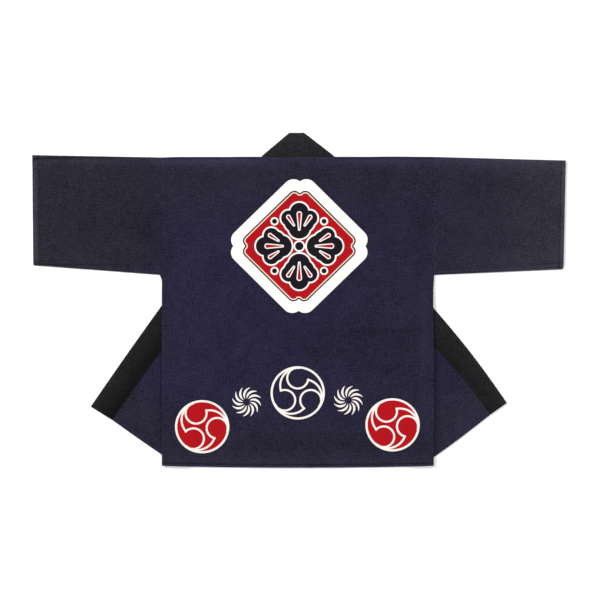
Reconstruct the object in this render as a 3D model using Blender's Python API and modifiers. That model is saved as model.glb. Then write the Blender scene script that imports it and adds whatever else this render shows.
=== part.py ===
"""A happi coat of navy cotton with a black collar, laid flat with its back up.

X runs across the coat, Y from the hem to the neck, and Z up from the surface it lies on. Sizes
are in millimetres until the meshes are made. Each front is folded outward under the coat, so
that its free half and the collar sewn to it show beside the body.
"""

import math

import bmesh
import bpy
from mathutils import Matrix, Vector

MM = 0.001

# Cloth and the room between the layers that lie on each other
CLOTH = 1.2
BAND = 2.0
GAP = 0.3
LAYER = CLOTH + GAP

# The body: straight sides, a shoulder line and a hem that hangs a little lower in the middle
SIDE_LEFT = -328.8
SIDE_RIGHT = 324.0
SHOULDER = 344.0
HEM = -396.4
HEM_SAG = 5.2
HEM_SAG_REACH = 150.0

# Spacing of the points on a panel, and half the width of cloth that a fold takes up
MESH = 27.0
FOLD_HALF = 1.2
FOLD_STEPS = 6
WELD = 0.02

# How far the collar's corner at the fold stays from the front's
SEAM_CORNER = 5.0

# How a layer comes down beside what lies under it: how far it stays up, and how far it falls
EDGE_KEEP = 3.0
EDGE_FALL = 36.0
FOLD_KEEP = 8.0
NECK_KEEP = 45.0
NECK_FALL = 80.0

# Each front and its half of the collar. The front's fold runs from `fold_top` on the collar seam
# to `fold_hem` on the hem. The collar leaves the neck at the corner `neck`, turns under at the
# mitre from `neck` to `mitre`, turns again at the fold up to `turn`, and follows the front's free
# edge, which comes out from under the body at `out`, down to the corner `tip`. `band_hem` is where
# the collar seam meets the hem. A bow is how far an edge curves out of its straight line.
FRONTS = {
    "left": {
        "hand": 1,
        "neck": (-90.0, 344.0),
        "mitre": (-22.8, 399.9),
        "turn": (-43.2, 378.8),
        "fold_top": (-101.3, 204.8),
        "fold_hem": (-290.4, -396.4),
        "out": (-331.2, -14.8),
        "tip": (-498.0, -252.4),
        "band_hem": (-448.8, -286.6),
        "seam_bow": 0.0,
        "edge_bow": 0.0,
    },
    "right": {
        "hand": -1,
        "neck": (85.2, 344.0),
        "mitre": (12.0, 399.9),
        "turn": (34.8, 377.6),
        "fold_top": (114.2, 139.6),
        "fold_hem": (294.5, -396.4),
        "out": (324.0, -19.6),
        "tip": (498.0, -245.2),
        "band_hem": (459.1, -274.1),
        "seam_bow": 5.5,
        "edge_bow": 3.4,
    },
}
SEAM_BOW_FROM = 0.61

# Each sleeve: its armhole end, its cuff, the height of the top fold at both, the lower edge of the
# layer on the floor at both, how far that layer shows below the upper one, and the cuff's slant
SLEEVES = {
    "left": {
        "armhole": SIDE_LEFT - GAP,
        "cuff": -640.8,
        "top_armhole": 344.0,
        "top_cuff": 348.4,
        "low_armhole": 60.8,
        "low_cuff": 84.0,
        "shows_armhole": 4.0,
        "shows_cuff": 5.0,
        "cuff_slant": 2.4,
    },
    "right": {
        "armhole": SIDE_RIGHT + GAP,
        "cuff": 640.8,
        "top_armhole": 344.0,
        "top_cuff": 334.6,
        "low_armhole": 60.8,
        "low_cuff": 76.0,
        "shows_armhole": 4.0,
        "shows_cuff": 7.0,
        "cuff_slant": -4.2,
    },
}

# Rows of points along each stretch of the collar, and across it
BAND_ROWS = 22
TURN_ROWS = 4
NECK_ROWS = 6
BAND_ACROSS = 2

# Linear colours of the dyed cotton, and how dull it is
NAVY = (0.022, 0.020, 0.045, 1.0)
BLACK = (0.019, 0.019, 0.021, 1.0)
COTTON_ROUGHNESS = 0.9


def clear_scene():
    """Remove whatever the file starts with."""
    for obj in list(bpy.data.objects):
        bpy.data.objects.remove(obj, do_unlink=True)


def new_collection(name):
    """A collection of this name in the scene."""
    collection = bpy.data.collections.new(name)
    bpy.context.scene.collection.children.link(collection)
    return collection


def cotton(name, colour):
    """Plain dyed cotton."""
    material = bpy.data.materials.new(name)
    material.use_nodes = True
    shader = material.node_tree.nodes["Principled BSDF"]
    shader.inputs["Base Color"].default_value = colour
    shader.inputs["Roughness"].default_value = COTTON_ROUGHNESS
    shader.inputs["Metallic"].default_value = 0.0
    material.diffuse_color = colour
    return material


def smooth_step(t):
    """0 below 0, 1 above 1, and an S between them."""
    t = min(max(t, 0.0), 1.0)
    return t * t * (3.0 - 2.0 * t)


def ramp(distance, keep, fall):
    """1 up to a distance of keep, then down to 0 over fall."""
    return 1.0 - smooth_step((distance - keep) / fall)


def cross(a, b):
    return a.x * b.y - a.y * b.x


def points_of(row):
    """A front's row of the table, with its places as vectors."""
    return {key: Vector(value) if isinstance(value, tuple) else value for key, value in row.items()}


def outside(front, point, start, end):
    """How far a point lies from the line start to end, positive on the side away from the body."""
    along = (end - start).normalized()
    return -front["hand"] * cross(along, point - start)


def past_fold(front, point):
    """How far a point lies past a front's fold, towards the middle of the coat."""
    return -outside(front, point, front["fold_top"], front["fold_hem"])


def past_seam(front, point):
    """How far a point lies past the collar seam of the turned half, towards its fold."""
    return -outside(front, point, front["fold_top"], front["band_hem"])


def past_edge(front, point):
    """How far a point lies past the free edge of the turned half, away from the body."""
    return outside(front, point, front["turn"], front["out"])


def distance_to_stretch(point, start, end):
    """How far a point is from a straight stretch."""
    along = end - start
    t = min(max((point - start).dot(along) / along.length_squared, 0.0), 1.0)
    return (point - start - t * along).length


def front_rest(front, point):
    """The height of the underside of a front's upper layer, which lies on its turned half."""
    edge = past_edge(front, point)
    band = max(edge, past_seam(front, point))
    on_panel = LAYER * ramp(edge, EDGE_KEEP, EDGE_FALL)
    return on_panel + (BAND - CLOTH) * ramp(band, EDGE_KEEP, EDGE_FALL)


def back_rest(fronts, point):
    """The height of the back's underside: on the fronts, on the collar's turns, or on the floor."""
    heights = [0.0]
    for front in fronts.values():
        on_front = front_rest(front, point) + LAYER
        heights.append(on_front * ramp(past_fold(front, point), FOLD_KEEP, EDGE_FALL))
        neck_side = (front["neck"] + front["turn"]) / 2
        from_turns = distance_to_stretch(point, neck_side, front["fold_top"])
        heights.append(2 * (BAND + GAP) * ramp(from_turns, NECK_KEEP, NECK_FALL))
    return max(heights)


def hem_sag(point):
    """The body's hem hangs lowest in the middle, and the sag fades out above it."""
    width = SIDE_RIGHT - SIDE_LEFT
    across = math.sin(math.pi * (point.x - SIDE_LEFT) / width)
    return -HEM_SAG * across * ramp(point.y - HEM, 0.0, HEM_SAG_REACH)


def flat_cloth(low_x, high_x, low_y, high_y):
    """A flat mesh over a rectangle. All panels share one lattice, so that layers match."""
    first_x, last_x = math.floor(low_x / MESH), math.ceil(high_x / MESH)
    first_y, last_y = math.floor(low_y / MESH), math.ceil(high_y / MESH)
    middle = Vector(((first_x + last_x) / 2, (first_y + last_y) / 2, 0.0)) * MESH
    spread = Matrix.Diagonal(((last_x - first_x) * MESH, (last_y - first_y) * MESH, 1.0, 1.0))
    mesh = bmesh.new()
    bmesh.ops.create_grid(
        mesh,
        x_segments=last_x - first_x,
        y_segments=last_y - first_y,
        size=0.5,
        matrix=Matrix.Translation(middle) @ spread,
    )
    return mesh


def cut_line(mesh, point, toward, trim=False):
    """Cut the cloth along the line through a point. With trim, what lies toward goes."""
    bmesh.ops.bisect_plane(
        mesh,
        geom=mesh.verts[:] + mesh.edges[:] + mesh.faces[:],
        dist=0.01,
        plane_co=Vector((point.x, point.y, 0.0)),
        plane_no=Vector((toward.x, toward.y, 0.0)),
        clear_outer=trim,
    )


def normal_of(start, end, away_from):
    """The unit normal of a line, on the side that away_from isn't on."""
    along = (end - start).normalized()
    normal = Vector((-along.y, along.x))
    return -normal if (away_from - start).dot(normal) > 0 else normal


def trim_to(mesh, corners):
    """Trim the cloth to a convex outline."""
    middle = sum(corners, Vector((0.0, 0.0))) / len(corners)
    for index, corner in enumerate(corners):
        following = corners[(index + 1) % len(corners)]
        cut_line(mesh, corner, normal_of(corner, following, middle), trim=True)


def cut_fold(mesh, start, toward):
    """Cut the lines along which the cloth bends when it is folded over a line."""
    for step in range(FOLD_STEPS + 1):
        distance = FOLD_HALF * (2.0 * step / FOLD_STEPS - 1.0)
        cut_line(mesh, start + toward * distance, toward)


def fold_under(point, start, normal, upper, lower):
    """A flat point's place once the cloth past a line is turned under. Returns x, y and z.

    upper and lower give the height of the cloth's middle before and after the fold.
    """
    past = (point - start).dot(normal)
    if past <= -FOLD_HALF:
        return point.x, point.y, upper(point)
    foot = point - normal * past
    if past >= FOLD_HALF:
        place = foot - normal * past
        return place.x, place.y, lower
    turn = math.pi * (past + FOLD_HALF) / (2.0 * FOLD_HALF)
    top = upper(foot)
    radius = (top - lower) / 2.0
    place = foot + normal * (radius * math.sin(turn) - FOLD_HALF)
    return place.x, place.y, lower + radius * (1.0 + math.cos(turn))


def triangulate(mesh):
    """Split the faces while they are flat, so that panels cut alike are split alike."""
    bmesh.ops.triangulate(mesh, faces=mesh.faces[:], quad_method="FIXED", ngon_method="BEAUTY")


def place_points(mesh, place):
    """Move each flat point to the x, y and z that place gives, and turn millimetres to metres."""
    for vertex in mesh.verts:
        vertex.co = Vector(place(vertex.co.to_2d())) * MM


def add_wall(collection, name, mesh, thickness, material):
    """Make an object of a sheet and give it its thickness, half on each side."""
    bmesh.ops.recalc_face_normals(mesh, faces=mesh.faces[:])
    data = bpy.data.meshes.new(name)
    mesh.to_mesh(data)
    mesh.free()
    data.materials.append(material)
    obj = bpy.data.objects.new(name, data)
    collection.objects.link(obj)
    wall = obj.modifiers.new("wall", "SOLIDIFY")
    wall.thickness = thickness * MM
    wall.offset = 0.0
    data.shade_smooth()
    return obj


def layer_lines(front):
    """The lines where the layers under a panel begin and end: the free edge and the collar seam."""
    return (
        (front["turn"], front["out"]),
        (front["fold_top"], front["band_hem"]),
        (front["neck"], front["fold_top"]),
    )


def cut_lines(mesh, lines):
    """Cut the cloth along each line, given by two of its points."""
    for start, end in lines:
        cut_line(mesh, start, normal_of(start, end, Vector((0.0, HEM))))


def folded_cloth(upper, turned, start, toward, lines=()):
    """Flat cloth cut to two convex outlines that meet at a fold, with the fold's lines in it."""
    mesh = bmesh.new()
    for corners in (upper, turned):
        across = [corner.x for corner in corners]
        down = [corner.y for corner in corners]
        half = flat_cloth(min(across), max(across), min(down), max(down))
        cut_lines(half, lines)
        cut_fold(half, start, toward)
        trim_to(half, corners)
        triangulate(half)
        half_data = bpy.data.meshes.new("half")
        half.to_mesh(half_data)
        half.free()
        mesh.from_mesh(half_data)
        bpy.data.meshes.remove(half_data)
    bmesh.ops.remove_doubles(mesh, verts=mesh.verts[:], dist=WELD)
    return mesh


def build_back(collection, fronts, material):
    """The back: one straight panel that lies over the fronts and sinks to the floor between them."""
    mesh = flat_cloth(SIDE_LEFT, SIDE_RIGHT, HEM, SHOULDER)
    for front in fronts.values():
        cut_lines(mesh, layer_lines(front))
        cut_lines(mesh, [(front["fold_top"], front["fold_hem"])])
    corners = ((SIDE_LEFT, HEM), (SIDE_RIGHT, HEM), (SIDE_RIGHT, SHOULDER), (SIDE_LEFT, SHOULDER))
    trim_to(mesh, [Vector(corner) for corner in corners])
    triangulate(mesh)

    def place(point):
        return point.x, point.y + hem_sag(point), back_rest(fronts, point) + CLOTH / 2

    place_points(mesh, place)
    return add_wall(collection, "back", mesh, CLOTH, material)


def seam_bow(front, t):
    """How far the collar seam curves outward, a share t of the way down the turned half."""
    if t <= SEAM_BOW_FROM:
        return 0.0
    return front["seam_bow"] * math.sin(math.pi * (t - SEAM_BOW_FROM) / (1.0 - SEAM_BOW_FROM))


def bow_with_seam(front, x, y, z):
    """Shift a point of the turned half with the bow of the collar seam beside it."""
    point = Vector((x, y))
    start, end = front["fold_top"], front["band_hem"]
    t = (point - start).dot(end - start) / (end - start).length_squared
    fade = max(0.0, 1.0 - past_seam(front, point) / MESH)
    normal = normal_of(start, end, front["fold_hem"])
    shifted = point + normal * seam_bow(front, t) * fade
    return shifted.x, shifted.y, z


def build_front(collection, side, front, material):
    """A front: its side half lies face down, and its free half is turned out under it."""
    start, end = front["fold_top"], front["fold_hem"]
    side_x = SIDE_LEFT if side == "left" else SIDE_RIGHT
    toward = normal_of(start, end, Vector((side_x, HEM)))
    past = (front["band_hem"] - start).dot(toward)
    unfolded_hem = front["band_hem"] - 2.0 * past * toward
    upper_half = [Vector((side_x, SHOULDER)), front["neck"], start, end, Vector((side_x, HEM))]
    turned_half = [start, unfolded_hem, end]

    mesh = folded_cloth(upper_half, turned_half, start, toward, layer_lines(front))

    def upper(point):
        return front_rest(front, point) + CLOTH / 2

    def place(point):
        x, y, z = fold_under(point, start, toward, upper, CLOTH / 2)
        if z < LAYER:
            return bow_with_seam(front, x, y, z)
        return x, y + hem_sag(Vector((x, y))), z

    place_points(mesh, place)
    return add_wall(collection, "front_" + side, mesh, CLOTH, material)


def build_sleeve(collection, side, sleeve, material):
    """A sleeve: one straight piece folded along its top, its lower layer showing a little below."""
    armhole, cuff = sleeve["armhole"], sleeve["cuff"]
    fold_start = Vector((armhole, sleeve["top_armhole"]))
    fold_end = Vector((cuff, sleeve["top_cuff"]))
    low_start = Vector((armhole, sleeve["low_armhole"]))
    low_end = Vector((cuff, sleeve["low_cuff"]))
    upward = normal_of(fold_start, fold_end, low_start)

    def unfolded(point):
        return point + 2.0 * (fold_start - point).dot(upward) * upward

    upper_low_start = low_start + Vector((0.0, sleeve["shows_armhole"]))
    upper_low_end = low_end + Vector((0.0, sleeve["shows_cuff"]))
    far_start, far_end = unfolded(low_start), unfolded(low_end)
    upper = [upper_low_start, upper_low_end, fold_end, fold_start]
    turned = [fold_start, fold_end, far_end, far_start]
    mesh = folded_cloth(upper, turned, fold_start, upward)

    def place(point):
        x, y, z = fold_under(point, fold_start, upward, lambda _: LAYER + CLOTH / 2, CLOTH / 2)
        along = (x - armhole) / (cuff - armhole)
        below = (sleeve["top_cuff"] - y) / (sleeve["top_cuff"] - sleeve["low_cuff"])
        return x + sleeve["cuff_slant"] * along * below, y, z

    place_points(mesh, place)
    return add_wall(collection, "sleeve_" + side, mesh, CLOTH, material)


def band_sections(fronts, front):
    """The collar's crosswise sections from a front's hem to the middle of the neck.

    Each is its end on the seam and its end on the free edge, as x, y and z.
    """
    hand = front["hand"]
    middle = (fronts["left"]["neck"].x + fronts["right"]["neck"].x) / 2
    low = BAND / 2
    high = low + BAND + GAP
    start, end = front["fold_top"], front["band_hem"]
    seam_out = normal_of(start, end, front["fold_hem"])
    hem_run = (front["tip"] - front["out"]).length
    out_share = 1.0 - hem_run / (hem_run + (front["out"] - front["turn"]).length)
    edge_out = normal_of(front["out"], front["tip"], front["fold_hem"])

    fold_seam = start + (front["turn"] - start).normalized() * SEAM_CORNER

    def on_seam(t):
        if t == 0.0:
            return fold_seam
        return start.lerp(end, t) + seam_out * (GAP + seam_bow(front, t))

    def on_edge(t):
        if t <= out_share:
            return front["turn"].lerp(front["out"], t / out_share)
        t = (t - out_share) / (1.0 - out_share)
        bow = front["edge_bow"] * math.sin(math.pi * t)
        return front["out"].lerp(front["tip"], t) + edge_out * bow

    sections = []
    for row in range(BAND_ROWS):
        t = 1.0 - row / BAND_ROWS
        sections.append((on_seam(t), on_edge(t), low, low))

    sections += bend(fold_seam, front["turn"], Vector((middle, HEM)), low, high)

    # The stretch between the two turns lies beside the front's upper layer. The mitre is set in
    # by what the cloth's turn stands out there.
    slope = front["mitre"] - front["neck"]
    inset = hand * (BAND + GAP / 2) * slope.length / slope.y
    neck_seam = front["neck"] + Vector((inset, GAP))
    neck_edge = front["mitre"] + Vector((inset, 0.0))
    for row in range(1, TURN_ROWS):
        t = row / TURN_ROWS
        seam = fold_seam.lerp(neck_seam, t)
        sections.append((seam, front["turn"].lerp(neck_edge, t), high, high))

    top = back_rest(fronts, front["neck"]) + BAND / 2
    outward = Vector((front["neck"].x, front["mitre"].y))
    sections += bend(neck_seam, neck_edge, outward, high, top)

    for row in range(1, NECK_ROWS + 1):
        t = row / NECK_ROWS
        seam = neck_seam.lerp(Vector((middle, SHOULDER + GAP)), t)
        edge = neck_edge.lerp(Vector((middle, front["mitre"].y)), t)
        height = back_rest(fronts, seam) + BAND / 2
        sections.append((seam, edge, height, height))
    return sections


def bend(seam, edge, toward, first, last):
    """Sections round a fold from one height to another, bulging toward a point."""
    normal = -normal_of(seam, edge, toward)
    radius = (last - first) / 2
    sections = []
    for step in range(FOLD_STEPS + 1):
        turn = math.pi * step / FOLD_STEPS
        bulge = normal * radius * math.sin(turn)
        height = (first + last) / 2 - radius * math.cos(turn)
        sections.append((seam + bulge, edge + bulge, height, height))
    return sections


def build_collar(collection, fronts, material):
    """The collar: one strip up one front, across the neck and down the other front."""
    sections = band_sections(fronts, fronts["left"])
    sections += band_sections(fronts, fronts["right"])[-2::-1]
    mesh = bmesh.new()
    rows = []
    for seam, edge, seam_height, edge_height in sections:
        start = Vector((seam.x, seam.y, seam_height)) * MM
        end = Vector((edge.x, edge.y, edge_height)) * MM
        shares = (step / BAND_ACROSS for step in range(BAND_ACROSS + 1))
        rows.append([mesh.verts.new(start.lerp(end, share)) for share in shares])
    for row, following in zip(rows, rows[1:]):
        for step in range(BAND_ACROSS):
            mesh.faces.new((row[step], row[step + 1], following[step + 1], following[step]))
    return add_wall(collection, "collar", mesh, BAND, material)


def main():
    clear_scene()
    collection = new_collection("happi_coat")
    navy = cotton("navy_cotton", NAVY)
    black = cotton("black_cotton", BLACK)
    fronts = {side: points_of(row) for side, row in FRONTS.items()}
    build_back(collection, fronts, navy)
    for side, front in fronts.items():
        build_front(collection, side, front, navy)
    for side, sleeve in SLEEVES.items():
        build_sleeve(collection, side, sleeve, navy)
    build_collar(collection, fronts, black)


main()
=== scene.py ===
"""The looks of the happi coat: its cloth, hems, stitches and prints, laid out on a pale floor.

Sizes are in millimetres until the meshes are made. X runs across the coat, Y from the hem to
the neck and Z up from the floor. A flat point is a place on a piece before it is folded.
"""

import math

import bmesh
import bpy
from mathutils import Matrix, Vector, noise


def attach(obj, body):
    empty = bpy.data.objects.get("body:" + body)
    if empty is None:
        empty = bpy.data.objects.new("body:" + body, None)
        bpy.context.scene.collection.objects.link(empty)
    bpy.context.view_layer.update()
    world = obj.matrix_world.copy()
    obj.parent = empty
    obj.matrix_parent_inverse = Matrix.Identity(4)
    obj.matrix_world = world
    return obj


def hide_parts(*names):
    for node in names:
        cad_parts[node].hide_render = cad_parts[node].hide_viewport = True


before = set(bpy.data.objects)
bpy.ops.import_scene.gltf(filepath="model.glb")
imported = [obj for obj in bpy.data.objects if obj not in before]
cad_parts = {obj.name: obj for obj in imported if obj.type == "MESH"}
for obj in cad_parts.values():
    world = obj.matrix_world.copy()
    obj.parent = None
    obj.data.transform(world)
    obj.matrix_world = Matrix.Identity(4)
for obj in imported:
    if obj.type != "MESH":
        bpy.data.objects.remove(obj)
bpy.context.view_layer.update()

MM = 0.001

# Cloth and the room between the layers that lie on each other, as in the frame's solids
CLOTH = 1.2
BAND = 2.0
GAP = 0.3
LAYER = CLOTH + GAP

# The body
SIDE_LEFT = -328.8
SIDE_RIGHT = 324.0
SHOULDER = 344.0
HEM = -396.4
HEM_SAG = 5.2
HEM_SAG_REACH = 150.0
HEM_SAG_POWER = 0.6
UNDERARM = 61.0

# How the laid body strays from its straight cut: its left side's curve into the sleeve, how far
# its right side lies inward and bows, and where the shoulder line dips (below 0) or rises
UNDERARM_CURVE = 4.6
SIDE_INWARD = 0.9
SIDE_BOW = 1.4
SIDE_BOW_REACH = 150.0
SIDE_REACH = 30.0
UNDERARM_KEEP = 1.0
UNDERARM_FALL = 13.0
SHOULDER_DIPS = (
    # x, half width, height
    (-334.0, 42.0, -1.5),
    (225.0, 95.0, 0.8),
)

# How far in from a seam its top layer is drawn down to the one below
SEAM_REACH = 4.0

# Spacing of the points on the cloth, and the cloth that a fold takes up
MESH = 5.0
FOLD_HALF = 1.2
FOLD_STEPS = 6
CORNER_STEPS = 4
WELD = 0.02
SEAM_CORNER = 5.0

# How a layer comes down beside what lies under it
EDGE_KEEP = 3.0
EDGE_FALL = 36.0
FOLD_KEEP = 8.0
NECK_KEEP = 45.0
NECK_FALL = 80.0

# Each front and its half of the collar, as the solids have them, and how far the collar's seam
# and edge, the hem and the collar's end stray from straight
FRONTS = {
    "left": {
        "side": SIDE_LEFT,
        "hand": 1,
        "neck": (-90.0, 344.0),
        "mitre": (-22.8, 399.9),
        "turn": (-43.2, 378.8),
        "fold_top": (-101.3, 204.8),
        "fold_hem": (-290.4, -396.4),
        "out": (-331.2, -14.8),
        "tip": (-498.0, -252.4),
        "band_hem": (-448.8, -286.6),
        "seam_bow": 0.0,
        "edge_bow": 1.0,
        "hem_bow": 1.0,
        "end_reach": 3.0,
    },
    "right": {
        "side": SIDE_RIGHT,
        "hand": -1,
        "neck": (85.2, 344.0),
        "mitre": (12.0, 399.9),
        "turn": (34.8, 377.6),
        "fold_top": (114.2, 139.6),
        "fold_hem": (294.5, -396.4),
        "out": (324.0, -19.6),
        "tip": (498.0, -245.2),
        "band_hem": (459.1, -274.1),
        "seam_bow": 5.5,
        "edge_bow": 4.6,
        "hem_bow": 2.0,
        "end_reach": 1.2,
    },
}
SEAM_BOW_FROM = 0.61
SEAM_BOW_REACH = 27.0
HEM_BOW_REACH = 60.0

# Each sleeve's edges, how much of its lower layer shows below the upper one, how far its cuff
# leans, and how far its hem, wear and rounded corner reach
SLEEVES = {
    "left": {
        "side": SIDE_LEFT,
        "hand": 1,
        "cuff": -639.8,
        "top_armhole": 342.7,
        "top_cuff": 348.4,
        "low_armhole": 60.8,
        "low_cuff": 84.0,
        "shows_armhole": 4.0,
        "shows_cuff": 5.0,
        "cuff_slant": 2.4,
        "cuff_band": 16.2,
        "armhole_wear": 0.0,
        "corner": 1.0,
    },
    "right": {
        "side": SIDE_RIGHT,
        "hand": -1,
        "cuff": 639.8,
        "top_armhole": 344.0,
        "top_cuff": 335.4,
        "low_armhole": 60.8,
        "low_cuff": 74.4,
        "shows_armhole": 4.0,
        "shows_cuff": 7.0,
        "cuff_slant": -5.4,
        "cuff_band": 12.0,
        "armhole_wear": 0.35,
        "corner": 6.0,
    },
}

# How far sewn pieces lap at a seam, so that no floor shows between them, and over what share of
# the collar's half and of the neck the lap begins
LAP = 0.4
LAP_SHARE = 0.125
NECK_LAP_SHARE = 0.25

# How deep the turned hem is, and how far in from its raw edge it is sewn
HEM_BAND = 28.4
STITCH_INSET = 2.0
HEM_STITCHES = HEM_BAND - STITCH_INSET

# The wall's share of its full thickness: plain cloth, a hem, and the line that a hem is sewn on
PLAIN_SHARE = 0.72
HEM_SHARE = 1.0
SEWN_SHARE = 0.5

# How wide the step at a hem's raw edge is, and how wide the groove and its painted shade are at
# stitches
HEM_STEP = 1.8
GROOVE = 1.4
PAINTED_SHADE_GROOVE = 2.8

# Where the cloth is cut beside a border, and beside the groove that a hem is sewn on
BORDER_CUTS = (1.3, 3.2)
GROOVE_CUTS = (-PAINTED_SHADE_GROOVE, -GROOVE, 0.0, GROOVE, PAINTED_SHADE_GROOVE)

# How worn a hem is beside its edge, where 1 is worn most, and how far in the edge is rubbed
HEM_WEAR = 0.15
CUFF_WEAR = 0.75
HEM_WEAR_FALL = 1.5
RUBBED_KEEP = 0.8
RUBBED_FALL = 6.0

# The rounding of a wall's edges, as a share of the cloth's thickness
EDGE_ROUND = 0.34
EDGE_ANGLE = math.radians(50.0)

# The collar's rows of points, and how far its fold at the neck rises past the solid's
BAND_ROWS = 96
TURN_ROWS = 30
NECK_ROWS = 22
NECK_RISE = 1.4

# Sections further apart than this lie along the collar, and closer ones round a fold
BAND_STRIDE = 2.0

# Where the collar's points lie across it
BAND_SHARES = (0.0, 0.02, 0.05, 0.09, 0.16, 0.26, 0.38, 0.5, 0.62, 0.74, 0.84, 0.91, 0.95, 0.98, 1.0)

# The collar's thickness across it: the phase of its swell at the seam and how fast it swells,
# and where and how fast it rounds off to its fold
SEAM_PHASE = 0.14
SEAM_SWELL = 1.6
ROUNDS_FROM = 0.9
ROUNDS_AT = 0.96
ROUNDS_BY = 2.4

# How much of the cloth's fine unevenness shows on the collar, and from where its end reaches out
COLLAR_RELIEF = 0.5
END_REACH_FROM = 0.75

# How much paler the collar is: worn beside its fold, paler over the neck and on its right half, and
# paler across it away from its seam, where painted shade keeps it darker
EDGE_FADE = 0.3
EDGE_FADE_KEEP = 0.6
EDGE_FADE_FALL = 3.4
NECK_FADE = 0.66
RIGHT_FADE = 0.3
NECK_FADE_REACH = 30.0
RIGHT_FADE_REACH = 200.0
PAINTED_SHADE_ACROSS = 0.75
LESS_AT_NECK = 0.05
LESS_AT_RIGHT = 0.25
PAINTED_SHADE_FROM = 0.12

# Soft ridges that lift every layer under them: where they run, how wide and how high they are
RIDGES = (
    # x, y, to_x, to_y, width, height
    (150.0, -66.0, 266.0, -71.0, 17.0, 1.3),
    (-4.0, -104.0, 66.0, -101.0, 20.0, 0.7),
    (180.0, -150.0, 226.0, -157.0, 13.0, 0.5),
    (-400.0, 276.0, -378.0, 96.0, 34.0, 1.5),
    (-158.0, -150.0, -88.0, -70.0, 20.0, 1.1),
    (-206.0, -188.0, -160.0, -150.0, 18.0, 0.7),
    (310.0, 62.0, 309.0, -82.0, 15.0, 1.1),
    (-470.0, 250.0, -548.0, 190.0, 38.0, 0.7),
    (458.0, 322.0, 460.0, 90.0, 10.0, 0.35),
    (360.0, 300.0, 392.0, 150.0, 26.0, 0.8),
    (342.0, -228.0, 416.0, -244.0, 11.0, 0.6),
    (-410.0, -210.0, -352.0, -262.0, 16.0, 0.5),
    (-240.0, 210.0, -180.0, 60.0, 34.0, 0.7),
    (-290.0, -20.0, -262.0, -150.0, 24.0, 0.7),
    (60.0, -330.0, 150.0, -342.0, 18.0, 0.5),
    (-110.0, -338.0, -20.0, -345.0, 18.0, 0.6),
    (215.0, 230.0, 262.0, 110.0, 30.0, 0.7),
    (560.0, 250.0, 596.0, 130.0, 30.0, 0.5),
)

# Where the body's sides and hem curl up a little, both layers together
CURLS = (
    # x, y, to_x, to_y, width, height
    (324.0, 60.0, 324.0, -250.0, 30.0, 0.4),
    (324.0, -130.0, 324.0, -396.0, 30.0, 0.3),
    (-328.8, 20.0, -328.8, -330.0, 10.0, 0.7),
    (-180.0, -400.0, 120.0, -400.0, 12.0, 0.5),
)

# Creases pressed into a layer: where they run, how wide and deep they are, and how dark the painted
# shade in them is
CREASES = {
    "back": (
        # x, y, to_x, to_y, width, depth, painted shade, and the share of it that is gone at its end
        (-316.6, 68.0, -316.2, -20.0, 2.6, 0.3, 0.6, 0.8),
        (-318.6, -397.0, -317.6, -350.0, 2.6, 0.3, 0.6, 0.8),
        (-329.0, -389.4, 324.0, -389.4, 2.4, 0.35, 1.0, 0.0),
        (311.5, 40.0, 312.5, -60.0, 3.0, 0.15, 0.3, 0.9),
        (-88.0, 340.6, -329.0, 340.6, 2.8, 0.2, 0.8, 0.3),
        (324.0, 340.6, 84.0, 340.6, 2.8, 0.2, 0.8, 0.1),
    ),
    "front_left": (
        # painted shadow of the body's left edge on the turned front, over a slight dip
        (-331.2, -30.0, -331.2, -345.0, 4.6, 0.3, 0.7, 0.2),
    ),
    "front_right": (
        # painted shadow of the body's right edge on the turned front
        (331.0, -50.0, 331.0, -396.0, 12.0, 0.1, 0.5, 0.1),
    ),
    "sleeve_left": (
        (-641.0, 340.2, -345.0, 345.0, 2.7, 0.4, 1.5, 0.6),
        (-626.0, 86.4, -415.0, 84.4, 2.7, 0.3, 1.0, 0.7),
    ),
    "sleeve_right": (
        (641.0, 90.8, 556.0, 86.0, 2.7, 0.35, 1.0, 0.9),
        (453.0, 326.0, 455.0, 84.0, 3.0, 0.12, 0.3, 0.5),
    ),
}
CREASE_ROOM = 0.4

# Where the cloth is cut beside a crease, in its widths
CREASE_CUTS = (-1.0, -0.5, 0.0, 0.5, 1.0)

# How much of a ridge, curl or stretch of painted light and shade there is at its ends
AT_ENDS = 0.45
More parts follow.
